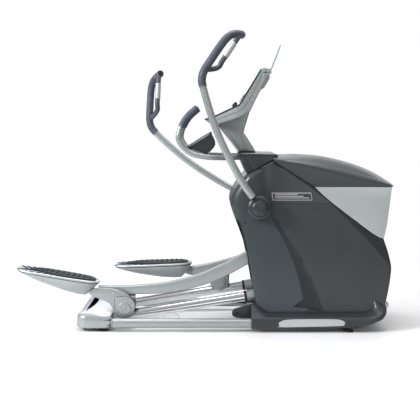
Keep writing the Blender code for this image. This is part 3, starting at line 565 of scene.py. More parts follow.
def casting_crown(inset, slot, base):
    """The domed top, triangulated inside the plan with the slot left open and its wall turned down."""
    plan = resample(casting_plan(inset), CASTING_GAP)
    loops = [plan, slot]
    inner = resample(casting_plan(inset + 0.01), CASTING_GAP)
    mid = resample(casting_plan(inset + 0.024), CASTING_GAP)
    points = [Vector(p) for p in plan + slot + inner + mid]
    edges = []
    start = 0
    for loop in (plan, slot, inner, mid):
        count = len(loop)
        edges += [(start + i, start + (i + 1) % count) for i in range(count)]
        start += count
    for i in range(14):
        for k in range(5):
            x = -0.66 + 0.032 * k
            y = -0.26 + 0.04 * i
            points.append(Vector((x, y)))
    got, _, faces, _, _, _ = delaunay_2d_cdt(points, edges, [], 1, 0.0001)
    kept = []
    for face in faces:
        centre = sum((got[i] for i in face), Vector((0, 0))) / len(face)
        if not inside(centre, slot):
            kept.append(tuple(face))
    placed = []
    for p in got:
        away = min(distance(p, plan), CASTING_SHOULDER) / CASTING_SHOULDER
        lift = casting_top(p.x) * (1 - (1 - away) ** 2.2) ** 0.5 * min(1.0, (CASTING_HALF - abs(p.y)) / 0.02 + 0.2)
        placed.append((p.x, p.y, base + lift))
    mesh = mesh_of("crown", placed, kept)
    wall = []
    for p in slot:
        away = min(distance(Vector(p), plan), CASTING_SHOULDER) / CASTING_SHOULDER
        wall.append(base + casting_top(p[0]) * (1 - (1 - away) ** 2.2) ** 0.5)
    lip = [[(x, y, z) for (x, y), z in zip(slot, wall)], [(x, y, 0.03) for x, y in slot]]
    return joined("crown", [mesh, rings("lip", lip, cap=False)])


def nearest(point, line):
    """The gap from an open polyline to a point, its length, and the direction of the line there."""
    best = None
    for a, b in zip(line, line[1:]):
        start = Vector(a)
        along = Vector(b) - start
        share = 0.0
        if along.length_squared > 0:
            share = min(max((Vector(point) - start).dot(along) / along.length_squared, 0.0), 1.0)
        gap = Vector(point) - start - along * share
        if best is None or gap.length < best[0]:
            best = (gap.length, gap, along)
    return best


def line_distance(point, line):
    """The distance from a point to an open polyline."""
    return nearest(point, line)[0]


def distance(point, outline):
    """The distance from a point to a closed outline."""
    return line_distance(point, [*outline, outline[0]])


def side_of(point, line):
    """Which side of a polyline that runs down and to the right: positive is up and right."""
    _, gap, along = nearest(point, line)
    return along.x * gap.y - along.y * gap.x


def resample(line, gap, closed=True):
    """Points about a gap apart along a polyline."""
    found = []
    ends = zip(line, line[1:] + line[:1]) if closed else zip(line, line[1:])
    for a, b in ends:
        steps = max(1, round((Vector(b) - Vector(a)).length / gap))
        found += [tuple(Vector(a).lerp(Vector(b), k / steps)) for k in range(steps)]
    if not closed:
        found.append(tuple(line[-1]))
    return found


def inside(point, outline):
    found = False
    for i, a in enumerate(outline):
        b = outline[(i + 1) % len(outline)]
        if (a[1] > point[1]) != (b[1] > point[1]):
            if point[0] < a[0] + (b[0] - a[0]) * (point[1] - a[1]) / (b[1] - a[1]):
                found = not found
    return found


# Foot links, rollers and pedals
LINK_TOP = [
    (-0.585, 0.23), (-0.466, 0.229), (-0.346, 0.234), (-0.22, 0.249), (-0.111, 0.273),
    (-0.029, 0.297), (0.08, 0.343), (0.221, 0.417), (0.345, 0.486),
]
LINK_BOTTOM = [
    (0.385, 0.431), (0.232, 0.349), (0.134, 0.294), (0.039, 0.25), (-0.084, 0.213),
    (-0.199, 0.192), (-0.33, 0.1835), (-0.585, 0.1815),
]
LINK_PIN = (0.3922, 0.4523)
SHAFT_RADIUS = 0.0125
COVER = [
    (-0.64, 0.198), (-0.604, 0.224), (-0.53, 0.224), (-0.47, 0.212), (-0.42, 0.188),
    (-0.392, 0.15), (-0.383, 0.11), (-0.392, 0.078), (-0.42, 0.06), (-0.466, 0.06),
    (-0.494, 0.078), (-0.503, 0.108), (-0.52, 0.136), (-0.56, 0.16), (-0.615, 0.178),
]
BELL = [
    (-0.4826, 0.1745), (-0.4917, 0.1306), (-0.4835, 0.0866), (-0.449, 0.0665), (-0.4055, 0.0778),
    (-0.3812, 0.1218), (-0.3896, 0.1569), (-0.425, 0.1789),
]


def flat_points(points):
    return [(p[0], p[1]) for p in points]


def closed_smooth(points, steps):
    """A smooth closed curve through the points."""
    wrapped = [points[-1], *points, points[0], points[1]]
    line = smooth_line(wrapped, steps)
    return flat_points(line[steps:-2 * steps])


def inset_loop(outline, width):
    """The outline moved inwards by a width, whichever way it turns."""
    area = sum(a[0] * b[1] - b[0] * a[1] for a, b in zip(outline, outline[1:] + outline[:1]))
    sign = 1 if area > 0 else -1
    found = []
    for i, point in enumerate(outline):
        before = Vector(outline[i - 1])
        after = Vector(outline[(i + 1) % len(outline)])
        along = (after - before).normalized()
        found.append((point[0] - sign * along.y * width, point[1] + sign * along.x * width))
    return found


def build_link(name, side):
    body = name + "_foot_link"
    place = link_place(side)
    outline = flat_points(smooth_line(LINK_TOP, 6)) + arc(LINK_PIN, 0.032, 125, -60, 20)
    outline += flat_points(smooth_line(LINK_BOTTOM, 6))
    eye = circle(LINK_PIN, SHAFT_RADIUS + 0.0006, 32)
    bar = plate("bar", [outline, eye], *span(side, 0.14, 0.19), edge=0.009, round_steps=4)
    piece(name + "_foot_link_bar", bar, SILVER, body, place, nodes=[name + "_link_bar"], sharp=25)
    cover = plate("cover", [closed_smooth(COVER, 5)], *span(side, 0.21, 0.2235), edge=0.0055)
    piece(name + "_roller_guard", cover, SILVER, body, place, nodes=[name + "_roller_cover"], sharp=25)
    bell = closed_smooth(BELL, 6)
    skin = plate("bell", [bell], *span(side, 0.2225, 0.233), edge=0.0048, round_steps=4)
    piece(name + "_guard_bell", skin, SILVER, body, place, sharp=25)
    crown = plate(
        "crown", [circle((-0.4395, 0.113), 0.036, 48)], *span(side, 0.231, 0.2375), edge=0.0045, round_steps=4
    )
    piece(name + "_guard_crown", crown, SILVER, body, place, sharp=25)
    # The near-black seam rod round the bell is painted shade in the gap between guard and bell.
    line = [(x, side * 0.2236, z) for x, z in inset_loop(bell, -0.0012)[-16:] + inset_loop(bell, -0.0012)[:10]]
    piece(name + "_guard_seam", rod("seam", line, 0.0011, 6), SHADOW, body, place)
    barrel = [circle((-0.44, 0.12), 0.056, 48)]
    dome = [circle((-0.44, 0.116), 0.036, 40)]
    inner = joined("inner", [
        plate("barrel", barrel, *span(side, 0.1085, 0.1203), edge=0.005, round_steps=4),
        plate("dome", dome, *span(side, 0.103, 0.11), edge=0.005, round_steps=4),
    ])
    piece(name + "_inner_guard", inner, SILVER, body, place, sharp=25)
    screw = screw_head("screw", (-0.4085, 0.15), 0.0052, side, 0.0016, 0.2365)
    piece(name + "_guard_screw", screw, STEEL, body, place)
    for i, spot in enumerate([(-0.56, 0.2), (-0.5, 0.192)]):
        screw = screw_head("screw", spot, 0.005, side, 0.0016, 0.2235)
        piece(f"{name}_cover_screw_{i}", screw, STEEL, body, place)
    profile = [(0, 0.2362), (0.0068, 0.2362), (0.0092, 0.2372), (0.0092, 0.2395), (0.0078, 0.241), (0, 0.2414)]
    cap = lathe("cap", profile, (RIGHT_AXLE.x - SHIFT.x, RIGHT_AXLE.z), 24, side)
    piece(name + "_axle_cap", cap, STEEL, body, place)
    build_pedal(name, side, place)


def pedal_plan(inset, count=72):
    """The pedal's outline from above: X along it from the heel, Y from its middle."""
    half = PEDAL_HALF - inset
    length = PEDAL_LENGTH - 2 * inset
    points = []
    for i in range(count):
        turn = 2 * math.pi * i / count
        power = 2 / PEDAL_POWER
        x = math.copysign(abs(math.cos(turn)) ** power, math.cos(turn))
        y = math.copysign(abs(math.sin(turn)) ** power, math.sin(turn))
        points.append((x * length / 2, y * half * (1 - 0.1 * x)))
    return points


BELLY = [
    (-0.24, -0.008), (-0.2252, -0.0134), (-0.16, -0.032), (-0.0888, -0.05), (0.0369, -0.0727),
    (0.12, -0.081), (0.16, -0.08), (0.185, -0.06), (0.1979, -0.0404), (0.226, -0.01), (0.24, -0.006),
]


def along_line(points, x):
    """The height of a polyline at x."""
    for a, b in zip(points, points[1:]):
        if a[0] <= x <= b[0]:
            return a[1] + (b[1] - a[1]) * (x - a[0]) / (b[0] - a[0])
    return points[0][1] if x < points[0][0] else points[-1][1]


LEAF = [
    (-0.165, 0.006), (-0.14, 0.018), (-0.095, 0.038), (-0.04, 0.058), (0.03, 0.07), (0.11, 0.069),
    (0.168, 0.054), (0.196, 0.03), (0.204, 0.0),
]


def leaf(grow=0.0):
    """The tread's outline: a long leaf, blunt at the front."""
    points = LEAF + [(x, -y) for x, y in LEAF[-2::-1]]
    return inset_loop(closed_smooth(points, 4), -grow)


def build_pedal(name, side, place):
    """A boat-shaped hull, a bright rim, a ribbed deck in pale silver with a painted reflection of the light from above,
    and a leaf-shaped rubber tread.
    """
    body = name + "_foot_link"
    seat = place @ Matrix.Translation((PEDAL_X, side * PEDAL_Y, PEDAL_Z)) @ Matrix.Rotation(PEDAL_TILT, 4, "Y")
    loops = []
    for share in (0, 0.05, 0.15, 0.3, 0.45, 0.6, 0.75, 0.88, 0.96, 1.0):
        loop = []
        for x, y in pedal_plan(0.0045 - 0.001 * min(share / 0.05, 1)):
            x *= 1 - 0.1 * share**2
            y *= 1 - 0.62 * share**2.2
            loop.append((x, y, -0.0072 + (along_line(BELLY, x) + 0.0072) * share))
        loops.append(loop)
    hull = rings("hull", loops)
    piece(name + "_pedal_hull", hull, PEDAL, body, seat, nodes=[name + "_pedal_base"], sharp=35)
    levels = [
        (0.012, 0.0015), (0.012, 0.0062), (0.0095, 0.0078), (0.005, 0.008), (0.0018, 0.0062), (0.0, 0.003),
        (0.0, -0.001), (0.0016, -0.003), (0.012, -0.003),
    ]
    rim = rings("rim", [[(x, y, z) for x, y in pedal_plan(inset)] for inset, z in levels], closed=True)
    piece(name + "_pedal_rim", rim, ACCENT, body, seat, sharp=35)
    shadow = rings("line", [[(x, y, z) for x, y in pedal_plan(0.0045)] for z in (-0.008, -0.0026)])
    piece(name + "_pedal_shadow_line", shadow, SHADOW, body, seat)
    deck = plate("deck", [pedal_plan(0.0117)], -0.002, 0.0046, "Z", 0.0008, 1)
    piece(name + "_pedal_deck", deck, PALE_SILVER_PAINTED_SHEEN, body, seat)
    ribs = []
    for i in range(11):
        x = -0.175 + 0.03 * i
        for way in (-1, 1):
            low = along_line(LEAF, x) - 0.004
            high = min(plan_edge(x), plan_edge(x - 0.016)) - 0.015
            if high - low < 0.006:
                continue
            lean = 0.016 * (high - low) / 0.02
            corners = [(x, low), (x + 0.0055, low), (x + 0.0055 - lean, high), (x - lean, high)]
            corners = [(a, way * b) for a, b in corners]
            ribs.append(plate("rib", [corners], 0.004, 0.0088, "Z", 0.0008, 1))
    piece(name + "_pedal_ribs", joined("ribs", ribs), TREAD, body, seat)
    base = plate("leaf", [leaf()], 0.0042, 0.0118, "Z", 0.003, 3)
    ridges = []
    for i in range(11):
        x = -0.13 + 0.029 * i
        reach = along_line(LEAF, x) - 0.01
        curve = [(x + 0.01 * (1 - (t / 6) ** 2), reach * t / 6, 0.0108) for t in range(-6, 7)]
        ridges.append(rod("ridge", curve, 0.0024, 8, "dome"))
    tread = joined("tread", [base, *ridges])
    for vert in tread.vertices:
        if vert.co.z > 0.006:
            spread = 1 - (vert.co.y / 0.078) ** 2
            vert.co.z += 0.011 * max(spread, 0.0) * max(1 - abs((vert.co.x - 0.02) / 0.19) ** 3, 0.0)
    piece(name + "_pedal_mat", tread, TREAD, body, seat, nodes=[name + "_pedal_tread"])
    bolt = rod("bolt", [(-0.1, 0, -0.044), (-0.1015, 0, -0.052)], 0.008, 6)
    piece(name + "_pedal_bolt", bolt, STEEL, body, seat)


def plan_edge(x):
    """Half the pedal's width at x."""
    t = min(abs(2 * x / PEDAL_LENGTH), 0.999)
    return PEDAL_HALF * (1 - t**PEDAL_POWER) ** (1 / PEDAL_POWER) * (1 - 0.1 * 2 * x / PEDAL_LENGTH)


# Handles
def build_handle(name, side):
    body = name + "_handle"
    place = handle_place(side)
    path = [
        (0.252, 0.312, 0.7245), (0.222, 0.316, 0.765), (0.176, 0.324, 0.838), (0.127, 0.33, 0.93),
        (0.088, HANDLE_Y, 1.01), (0.054, HANDLE_Y, 1.09), (0.028, HANDLE_Y, 1.165), (0.004, HANDLE_Y, 1.245),
        (-0.0118, HANDLE_Y, 1.3047),
    ]
    tube = rod("tube", across(path, side), 0.019, 36, steps=8)
    piece(name + "_swing_tube", tube, SILVER, body, place, nodes=[name + "_handle_tube"])
    grip = [
        (-0.012, HANDLE_Y, 1.3055), (-0.015, HANDLE_Y, 1.32), (-0.017, HANDLE_Y, 1.335), (-0.013, HANDLE_Y, 1.365),
        (0.002, HANDLE_Y, 1.398), (0.03, HANDLE_Y, 1.44), (0.083, HANDLE_Y, 1.517), (0.112, 0.327, 1.552),
        (0.135, 0.316, 1.569), (0.16, 0.29, 1.577), (0.193, 0.222, 1.579),
    ]
    outer = rod("outer", across(grip, side), 0.0211, 36, "chamfer", steps=7)
    inner = [
        (0.18, 0.232, 1.574), (0.162, HANDLE_INNER_Y, 1.548), (0.122, HANDLE_INNER_Y, 1.488),
        (0.09, HANDLE_INNER_Y, 1.442), (0.074, 0.23, 1.414), (0.05, 0.262, 1.4), (0.012, 0.318, 1.392),
    ]
    back = rod("back", across(inner, side), 0.0142, 28, steps=7)
    piece(
        name + "_swing_grip", joined("grip", [outer, back]), GRIP, body, place, nodes=[name + "_handle_grip"], sharp=50,
    )
    end = rod("end", across([(0.186, 0.236, 1.5788), (0.195, 0.218, 1.5791)], side), 0.0208, 36, "chamfer")
    piece(name + "_grip_end", end, GRIP_END, body, place)
    tip = rod("tip", across([(0.1946, 0.219, 1.5791), (0.1962, 0.2152, 1.5792)], side), 0.017, 28, "chamfer")
    piece(name + "_grip_plug", tip, BLACK, body, place)
    cuff = rod("cuff", across([(-0.0112, HANDLE_Y, 1.302), (-0.0128, HANDLE_Y, 1.3085)], side), 0.0215, 36, "chamfer")
    piece(name + "_grip_cuff", cuff, GRIP_END, body, place)
    pad = rod(
        "pad",
        across([(0.156, HANDLE_INNER_Y, 1.539), (0.122, HANDLE_INNER_Y, 1.488), (0.106, HANDLE_INNER_Y, 1.465)], side),
        0.0158, 28, "chamfer", steps=6,
    )
    piece(name + "_pulse_plate", pad, CONTACT, body, place)
    profile = [
        (0.0135, 0.3215), (0.0135, 0.2125), (0.0225, 0.2125), (0.0225, 0.253), (0.06, 0.253), (0.0645, 0.2545),
        (0.066, 0.2575), (0.066, 0.296), (0.0648, 0.3005), (0.0605, 0.3055), (0.053, 0.3095), (0.0455, 0.312),
        (0.044, 0.3105), (0.0428, 0.312), (0.0428, 0.32), (0.0412, 0.324), (0.035, 0.3285), (0.024, 0.3318),
        (0.012, 0.3335), (0.0, 0.3339), (0.0, 0.3215),
    ]
    hub = lathe("hub", profile, HUB, 64, side)
    piece(name + "_pivot_boss", hub, DARK, body, place, nodes=[name + "_hub"], sharp=30)
    lug = rod("lug", across([(0.242, 0.31, 0.738), (0.25, 0.29, 0.727), (0.256, 0.275, 0.718)], side), 0.0165, 28)
    piece(name + "_tube_lug", lug, DARK, body, place)


# Shroud
SHELL_REAR = [
    (0.283, 0.0905), (0.264, 0.2), (0.246, 0.303), (0.215, 0.448), (0.177, 0.562),
    (0.147, 0.638), (0.136, 0.683), (0.143, 0.728), (0.177, 0.788), (0.222, 0.842),
]
SHELL_FRONT = [
    (1.0, 0.7775), (0.988, 0.683), (0.975, 0.57), (0.962, 0.493), (0.985, 0.43),
    (1.001, 0.36), (1.0028, 0.32), (0.994, 0.24), (0.98, 0.165), (0.962, 0.0905),
]
LID_LINE = [(0.363, 0.913), (0.582, 0.7775)]
PANEL = [
    (0.583, 0.7765), (0.63, 0.732), (0.68, 0.69), (0.745, 0.64), (0.809, 0.592), (0.86, 0.553),
    (0.901, 0.524), (0.935, 0.504), (0.958, 0.498), (0.973, 0.57), (0.986, 0.683), (0.996, 0.7765),
]
GROOVE_LEFT = [
    (0.3497, 0.6457), (0.345, 0.6207), (0.3812, 0.5554), (0.4472, 0.4309), (0.4938, 0.3124), (0.5279, 0.1701),
]
GROOVE_RIGHT = [(0.3545, 0.6598), (0.4268, 0.5293), (0.5257, 0.3849), (0.5792, 0.2662), (0.64, 0.1004)]
DIAGONAL = [(0.3593, 0.9123), (0.5671, 0.7702), (0.6717, 0.6858), (0.7769, 0.5816), (0.8891, 0.4703), (0.9923, 0.3487)]
SILL = 0.6871
GROOVE_FOOT = (0.4759, 0.127)
GROOVE_AREA = flat_points(smooth_line(GROOVE_LEFT, 4)) + [GROOVE_FOOT, (0.64, 0.097)]
GROOVE_AREA += flat_points(smooth_line(GROOVE_RIGHT, 5))[::-1]
GROOVE_DEPTH = 0.015
VALLEY = 0.8


def shell_depth(point, outline):
    """How far the shell's side lies inside its widest plane."""
    x, z = point
    depth = 0.075 * max(0.0, z - SILL) * min(max((x - 0.2) / 0.15, 0.0), 1.0)
    depth += 1.0 * max(0.0, 0.34 - x) ** 2
    beyond = line_distance(point, DIAGONAL)
    if side_of(point, DIAGONAL) > 0 and beyond > 0.0005:
        depth += min(0.38 * beyond, 0.018)
    if inside(point, GROOVE_AREA):
        left = line_distance(point, GROOVE_LEFT)
        right = line_distance(point, GROOVE_RIGHT)
        share = left / (left + right + 0.00001)
        rise = share / VALLEY if share < VALLEY else (1 - share) / (1 - VALLEY)
        depth += min(0.2 * (left + right), GROOVE_DEPTH) * rise
    edge = distance(point, outline)
    upper = min(max((z - 0.58) / 0.06, 0.0), 1.0)
    reach = 0.008 + 0.03 * upper if x < 0.3 else 0.012
    if z < 0.12:
        reach = 0.004
    if x > 0.4 and z > 0.76:
        reach = 0.002
    if edge < reach:
        depth += reach - math.sqrt(max(reach**2 - (reach - edge) ** 2, 0.0))
    return depth


def at_share(line, share):
    """The point at a share of a polyline's length."""
    lengths = [(Vector(b) - Vector(a)).length for a, b in zip(line, line[1:])]
    left = share * sum(lengths)
    for (a, b), length in zip(zip(line, line[1:]), lengths):
        if left <= length:
            return Vector(a).lerp(Vector(b), left / length)
        left -= length
    return Vector(line[-1])


def shell_skin():
    """The shell's side as flat points with depths, and its triangles."""
    rear = flat_points(smooth_line(SHELL_REAR, 6))
    front = SHELL_FRONT[:4] + flat_points(smooth_line(SHELL_FRONT[4:], 5))
    outline = resample(rear + LID_LINE + front, 0.01)
    groove_left = flat_points(smooth_line(GROOVE_LEFT, 4))
    groove_right = flat_points(smooth_line(GROOVE_RIGHT, 5))
    count = 24
    low_ends = []
    for i in range(2, count + 1):
        a = at_share(groove_left, i / count)
        b = at_share(groove_right, i / count)
        low_ends.append(tuple(a.lerp(b, VALLEY)))
    hole = circle(HUB, 0.024, 32)
    points = []
    edges = []
    closed_lines = [outline, hole]
    for width in (0.0012, 0.0035, 0.0075, 0.013, 0.02, 0.029, 0.038):
        ring = [p for p in inset_loop(outline, width) if inside(p, outline) and distance(p, outline) > width * 0.9]
        points += [Vector(p) for p in ring]
    for line in closed_lines:
        start = len(points)
        points += [Vector(p) for p in line]
        edges += [(start + i, start + (i + 1) % len(line)) for i in range(len(line))]
    open_lines = [
        groove_left, groove_right, low_ends, flat_points(smooth_line(DIAGONAL, 4))[1:-1],
        [(0.352, SILL), (0.683, SILL)],
    ]
    open_lines.append([groove_left[-1], (0.4759, 0.127), (0.64, 0.1)])
    for line in open_lines:
        line = resample(line, 0.01, False)
        start = len(points)
        points += [Vector(p) for p in line]
        edges += [(start + i, start + i + 1) for i in range(len(line) - 1)]
    for i in range(49):
        for k in range(46):
            spot = (0.14 + 0.018 * i + 0.009 * (k % 2), 0.095 + 0.018 * k)
            far = min(line_distance(spot, line) for line in open_lines) > 0.005
            if far and inside(spot, outline) and distance(spot, outline) > 0.04 and distance(spot, hole) > 0.005:
                points.append(Vector(spot))
    got, _, faces, _, _, _ = delaunay_2d_cdt(points, edges, [], 0, 0.0001)
    kept = []
    for face in faces:
        centre = sum((got[i] for i in face), Vector((0, 0))) / len(face)
        if inside(centre, outline) and not inside(centre, hole):
            kept.append(tuple(face))
    used = sorted({i for face in kept for i in face})
    index = {old: new for new, old in enumerate(used)}
    placed = []
    for i in used:
        depth = shell_depth((got[i].x, got[i].y), outline)
        placed.append((got[i].x, SHELL_FACE - depth, got[i].y))
    return placed, [tuple(index[i] for i in face) for face in kept]


def build_shell(name, side, skin):
    placed, faces = skin
    mesh = bpy.data.meshes.new("skin")
    mesh.from_pydata(across(placed, side), [], faces)
    shape = bmesh.new()
    shape.from_mesh(mesh)
    border = [edge for edge in shape.edges if edge.is_boundary]
    turned = bmesh.ops.extrude_edge_only(shape, edges=border)["geom"]
    for vert in [v for v in turned if isinstance(v, bmesh.types.BMVert)]:
        doorway = vert.co.x < 0.3 and vert.co.z < 0.6
        near_hub = (Vector((vert.co.x, vert.co.z)) - Vector(HUB)).length < 0.03
        vert.co.y = side * (0.2365 if doorway or near_hub else 0.0005)
    bmesh.ops.recalc_face_normals(shape, faces=shape.faces)
    shape.to_mesh(mesh)
    shape.free()
    outward = sum((p.normal.y * side for p in mesh.polygons if abs(p.center.y) > 0.22 and abs(p.normal.y) > 0.8), 0.0)
    if outward < 0:
        mesh.flip_normals()
    shroud = piece(name + "_shroud_side", mesh, SLATE, nodes=[name + "_side_shell"], sharp=32)
    # Painted shade goes on the groove's faces and on the facet under the silver panel, and a painted highlight on the
    # rear column; edges between these regions are marked sharp.
    for material in (SLATE_GROOVE_PAINTED_SHADE, SLATE_FACET_PAINTED_SHADE, SLATE_REAR_PAINTED_HIGHLIGHT):
        mesh.materials.append(material)
    region_of = {}
    for face in mesh.polygons:
        spot = (face.center.x - SHIFT.x, face.center.z)
        if inside(spot, GROOVE_AREA):
            face.material_index = 1
        elif side_of(spot, DIAGONAL) > 0 and spot[1] < 0.77:
            face.material_index = 2
        elif spot[0] < 0.53 and spot[1] < 0.64 and side_of(spot, GROOVE_LEFT) < 0:
            face.material_index = 3
        for key in face.edge_keys:
            region_of.setdefault(key, set()).add(face.material_index)
    for edge in mesh.edges:
        if len(region_of[edge.key]) > 1:
            edge.use_edge_sharp = True
    panel = plate("panel", [PANEL], *span(side, 0.238, 0.2478), edge=0.003, round_steps=4)
    piece(name + "_silver_panel", panel, ACCENT, nodes=[name + "_accent_panel"], sharp=25)
    # The shroud's screw heads are black as painted shade of the holes they sit in.
    for i, spot in enumerate([(0.2162, 0.5833), (0.2947, 0.1255)]):
        screw = screw_head("screw", spot, 0.0055, side, 0.0016, SHELL_FACE - 0.004 - 0.0115 * (1 - i))
        piece(f"{name}_shroud_screw_{i}", screw, BLACK)
    # The near-black rod along the sill is painted shade in the crease.
    line = [(0.352, side * (SHELL_FACE - 0.0003), SILL), (0.679, side * (SHELL_FACE - 0.0003), SILL)]
    piece(name + "_sill_line", rod("sill", line, 0.0009, 6), SHADOW)
    badge = [(0.36, 0.7035), (0.5727, 0.7035), (0.566, 0.745), (0.3533, 0.745)]
    plain = plate("badge", [badge], *span(side, SHELL_FACE - 0.004, SHELL_FACE + 0.0012), edge=0.0012)
    piece(name + "_badge_plate", plain, CONTACT)
    inner = [(0.3645, 0.7075), (0.5685, 0.7075), (0.5628, 0.741), (0.359, 0.741)]
    field = plate("field", [inner], *span(side, SHELL_FACE, SHELL_FACE + 0.0019), edge=0.0004)
    piece(name + "_badge_field", field, DARK)
    bars = []
    for i in range(3):
        z = 0.715 + 0.009 * i
        bar = [
            (0.372 - 0.001 * i, z), (0.556 - 0.0012 * i - 0.03 * i, z), (0.555 - 0.0012 * i - 0.03 * i, z + 0.0042),
            (0.3715 - 0.001 * i, z + 0.0042),
        ]
        bars.append(plate("bar", [bar], *span(side, SHELL_FACE + 0.001, SHELL_FACE + 0.0027), edge=0.0005))
    piece(name + "_badge_bars", joined("bars", bars), CONTACT)


LID_EDGE = [
    (0.363, 0.928), (0.3911, 0.9286), (0.5034, 0.9169), (0.6233, 0.893), (0.7433, 0.8637), (0.8663, 0.8291),
    (0.9864, 0.7896), (1.003, 0.783),
]
LID_CROWN = [(0.363, 0.9335), (0.4, 0.94), (0.509, 0.944), (0.66, 0.93), (0.811, 0.893), (0.925, 0.848), (1.003, 0.8)]


def build_lid():
    """The shroud's lid: upright edges, a rounded shoulder and a crowned top."""
    edge = flat_points(smooth_line(LID_EDGE, 5))
    crown = flat_points(smooth_line(LID_CROWN, 5))
    half = 0.2497
    loops = []
    for i in range(45):
        x = 0.3635 + (1.0028 - 0.3635) * i / 44
        low = along_line([(0.363, 0.9133), (0.582, 0.7778), (1.004, 0.7778)], x)
        shoulder = along_line(edge, x)
        top = along_line(crown, x)
        corner = min(0.036, max((shoulder - low) * 0.6, 0.0005))
        half_loop = [(half - 0.004, low), (half, low + 0.0006)]
        for k in range(6):
            turn = math.pi / 2 * k / 5
            half_loop.append((half - corner * (1 - math.cos(turn)), shoulder - corner * (1 - math.sin(turn))))
        for k in range(1, 13):
            t = k / 12
            half_loop.append(((half - corner) * (1 - t), shoulder + (top - shoulder) * (1 - (1 - t) ** 2.0)))
        loop = [(x, y, z) for y, z in half_loop] + [(x, -y, z) for y, z in half_loop[-2::-1]]
        loops.append(loop)
    mesh = rings("lid", loops)
    piece("shroud_lid", mesh, SLATE, nodes=["top_lid"], sharp=30)
    for side in SIDES.values():
        lip = [(0.604, side * 0.248, 0.7815), (0.8, side * 0.248, 0.7815), (1.0, side * 0.248, 0.7815)]
        piece(f"lid_lip_{side + 1}", rod("lip", lip, 0.0036, 14, "dome"), SLATE)
        # The near-black rod along the lid's lower edge is painted shade in the seam.
        seam = [(x, side * 0.2465, z) for x, z in resample(
            [(0.366, 0.9128), (0.582, 0.7776), (0.999, 0.7776)], 0.02, False,
        )]
        piece(f"lid_seam_{side + 1}", rod("seam", seam, 0.0008, 6), SHADOW)


def build_skirt():
    """The low skirt round the shroud's foot, swept along its sides and round its front."""
    path = [(0.246 + 0.654 * i / 26, -0.3215, 0.0, -1.0) for i in range(27)]
    for i in range(1, 9):
        turn = math.radians(-90 + 90 * i / 9)
        path.append((0.9 + 0.08 * math.cos(turn), -0.2415 + 0.08 * math.sin(turn), math.cos(turn), math.sin(turn)))
    path += [(0.98, -0.2415 + 0.483 * i / 14, 1.0, 0.0) for i in range(15)]
    path += [(x, -y, nx, -ny) for x, y, nx, ny in path[34::-1]]
    bottom = [(0.2, 0.0213), (0.3, 0.0213), (0.7023, 0.024), (0.8634, 0.04), (0.9531, 0.07), (0.981, 0.1)]
    top = [
        (0.2, 0.1435), (0.2524, 0.1435), (0.2982, 0.1236), (0.331, 0.0971), (0.8535, 0.0971), (0.938, 0.117),
        (0.9632, 0.155), (0.99, 0.165),
    ]
    loops = []
    for x, y, nx, ny in path:
        low = along_line(bottom, x)
        seam = along_line(top, x)
        brow = max(0.08, low + 0.03)
        section = [
            (0.012, low), (0.003, low), (0.0, low + 0.003), (0.0, brow - 0.008), (
                0.0022, brow - 0.002,
            ), (0.007, brow + 0.002),
            (
                0.03, brow + (seam - brow) * 0.45,
            ), (0.056, seam - 0.0015), (0.06, seam), (0.07, seam - 0.001), (0.07, seam - 0.008), (0.012, brow - 0.014),
        ]
        loops.append([(x - nx * d, y - ny * d, z) for d, z in section])
    mesh = rings("skirt", loops)
    piece("floor_skirt", mesh, DARK, nodes=["base_skirt"], sharp=28)
    insert = [
        (0.3908, 0.0509), (0.4, 0.06), (0.4242, 0.0706), (0.508, 0.075), (0.6822, 0.075), (0.7275, 0.069),
        (0.7458, 0.0562), (0.738, 0.044), (0.7215, 0.0378), (0.4116, 0.031), (0.396, 0.038),
    ]
    for name, side in SIDES.items():
        silver = plate("insert", [closed_smooth(insert, 4)], *span(side, 0.3195, 0.324), edge=0.0018)
        piece(name + "_skirt_insert", silver, ACCENT)
        # The near-black outline round the silver insert is painted shade in its recess.
        recess = plate(
            "recess", [inset_loop(closed_smooth(insert, 4), -0.003)], *span(side, 0.3195, 0.322), edge=0.0004
        )
        piece(name + "_insert_recess", recess, SHADOW)
        bracket = [
            (0.263, 0.049), (0.263, 0.137), (0.19, 0.118),
        ] + arc((0.17, 0.085), 0.026, 110, 270, 8) + [(0.2, 0.055)]
        cast = plate("bracket", [bracket], *span(side, 0.198, 0.214), edge=0.004)
        screw = screw_head("screw", (0.172, 0.086), 0.008, side, 0.002, 0.214)
        piece(name + "_rail_bracket", cast, DARK)
        piece(name + "_bracket_screw", screw, BLACK)
        wheel = lathe(
            "wheel", [(0.007, 0.19), (0.02, 0.19), (0.024, 0.193), (0.024, 0.207), (0.02, 0.21), (0.007, 0.21)],
            (0.975, 0.128), 32, side,
        )
        piece(name + "_front_wheel", wheel, ACCENT)


def build_collar():
    """The collar round the mast: a shelf with an overhanging rim, and a cover behind the hubs."""
    body = [
        (0.196, 0.906), (0.222, 0.846), (0.262, 0.859), (0.3615, 0.9145), (0.3615, 0.934), (0.384, 0.94),
        (0.392, 0.944), (0.204, 0.944),
    ]
    shelf = [(0.18, 0.9545), (0.378, 0.9508), (0.392, 0.943), (0.386, 0.9385), (0.196, 0.9405), (0.184, 0.945)]
    parts = [plate("body", [body], -0.2, 0.2, edge=0.006), plate("shelf", [shelf], -0.215, 0.215, edge=0.0035)]
    piece("mast_collar", joined("collar", parts), DARK, nodes=["neck_collar"], sharp=30)
    face = [(0.212, 0.944), (0.2626, 0.863), (0.39, 0.933), (0.386, 0.944)]
    for name, side in SIDES.items():
        skin = plate("face", [face], *span(side, 0.19, 0.212), edge=0.0035)
        piece(name + "_collar_face", skin, SLATE)
        # A thin silver rod along the shelf's edge is a painted highlight on the rim.
        line = [(0.198, side * 0.2145, 0.953), (0.29, side * 0.2145, 0.9512), (0.376, side * 0.2145, 0.949)]
        piece(name + "_collar_rim_painted_highlight", rod("rim", line, 0.0012, 8, "dome"), ACCENT)


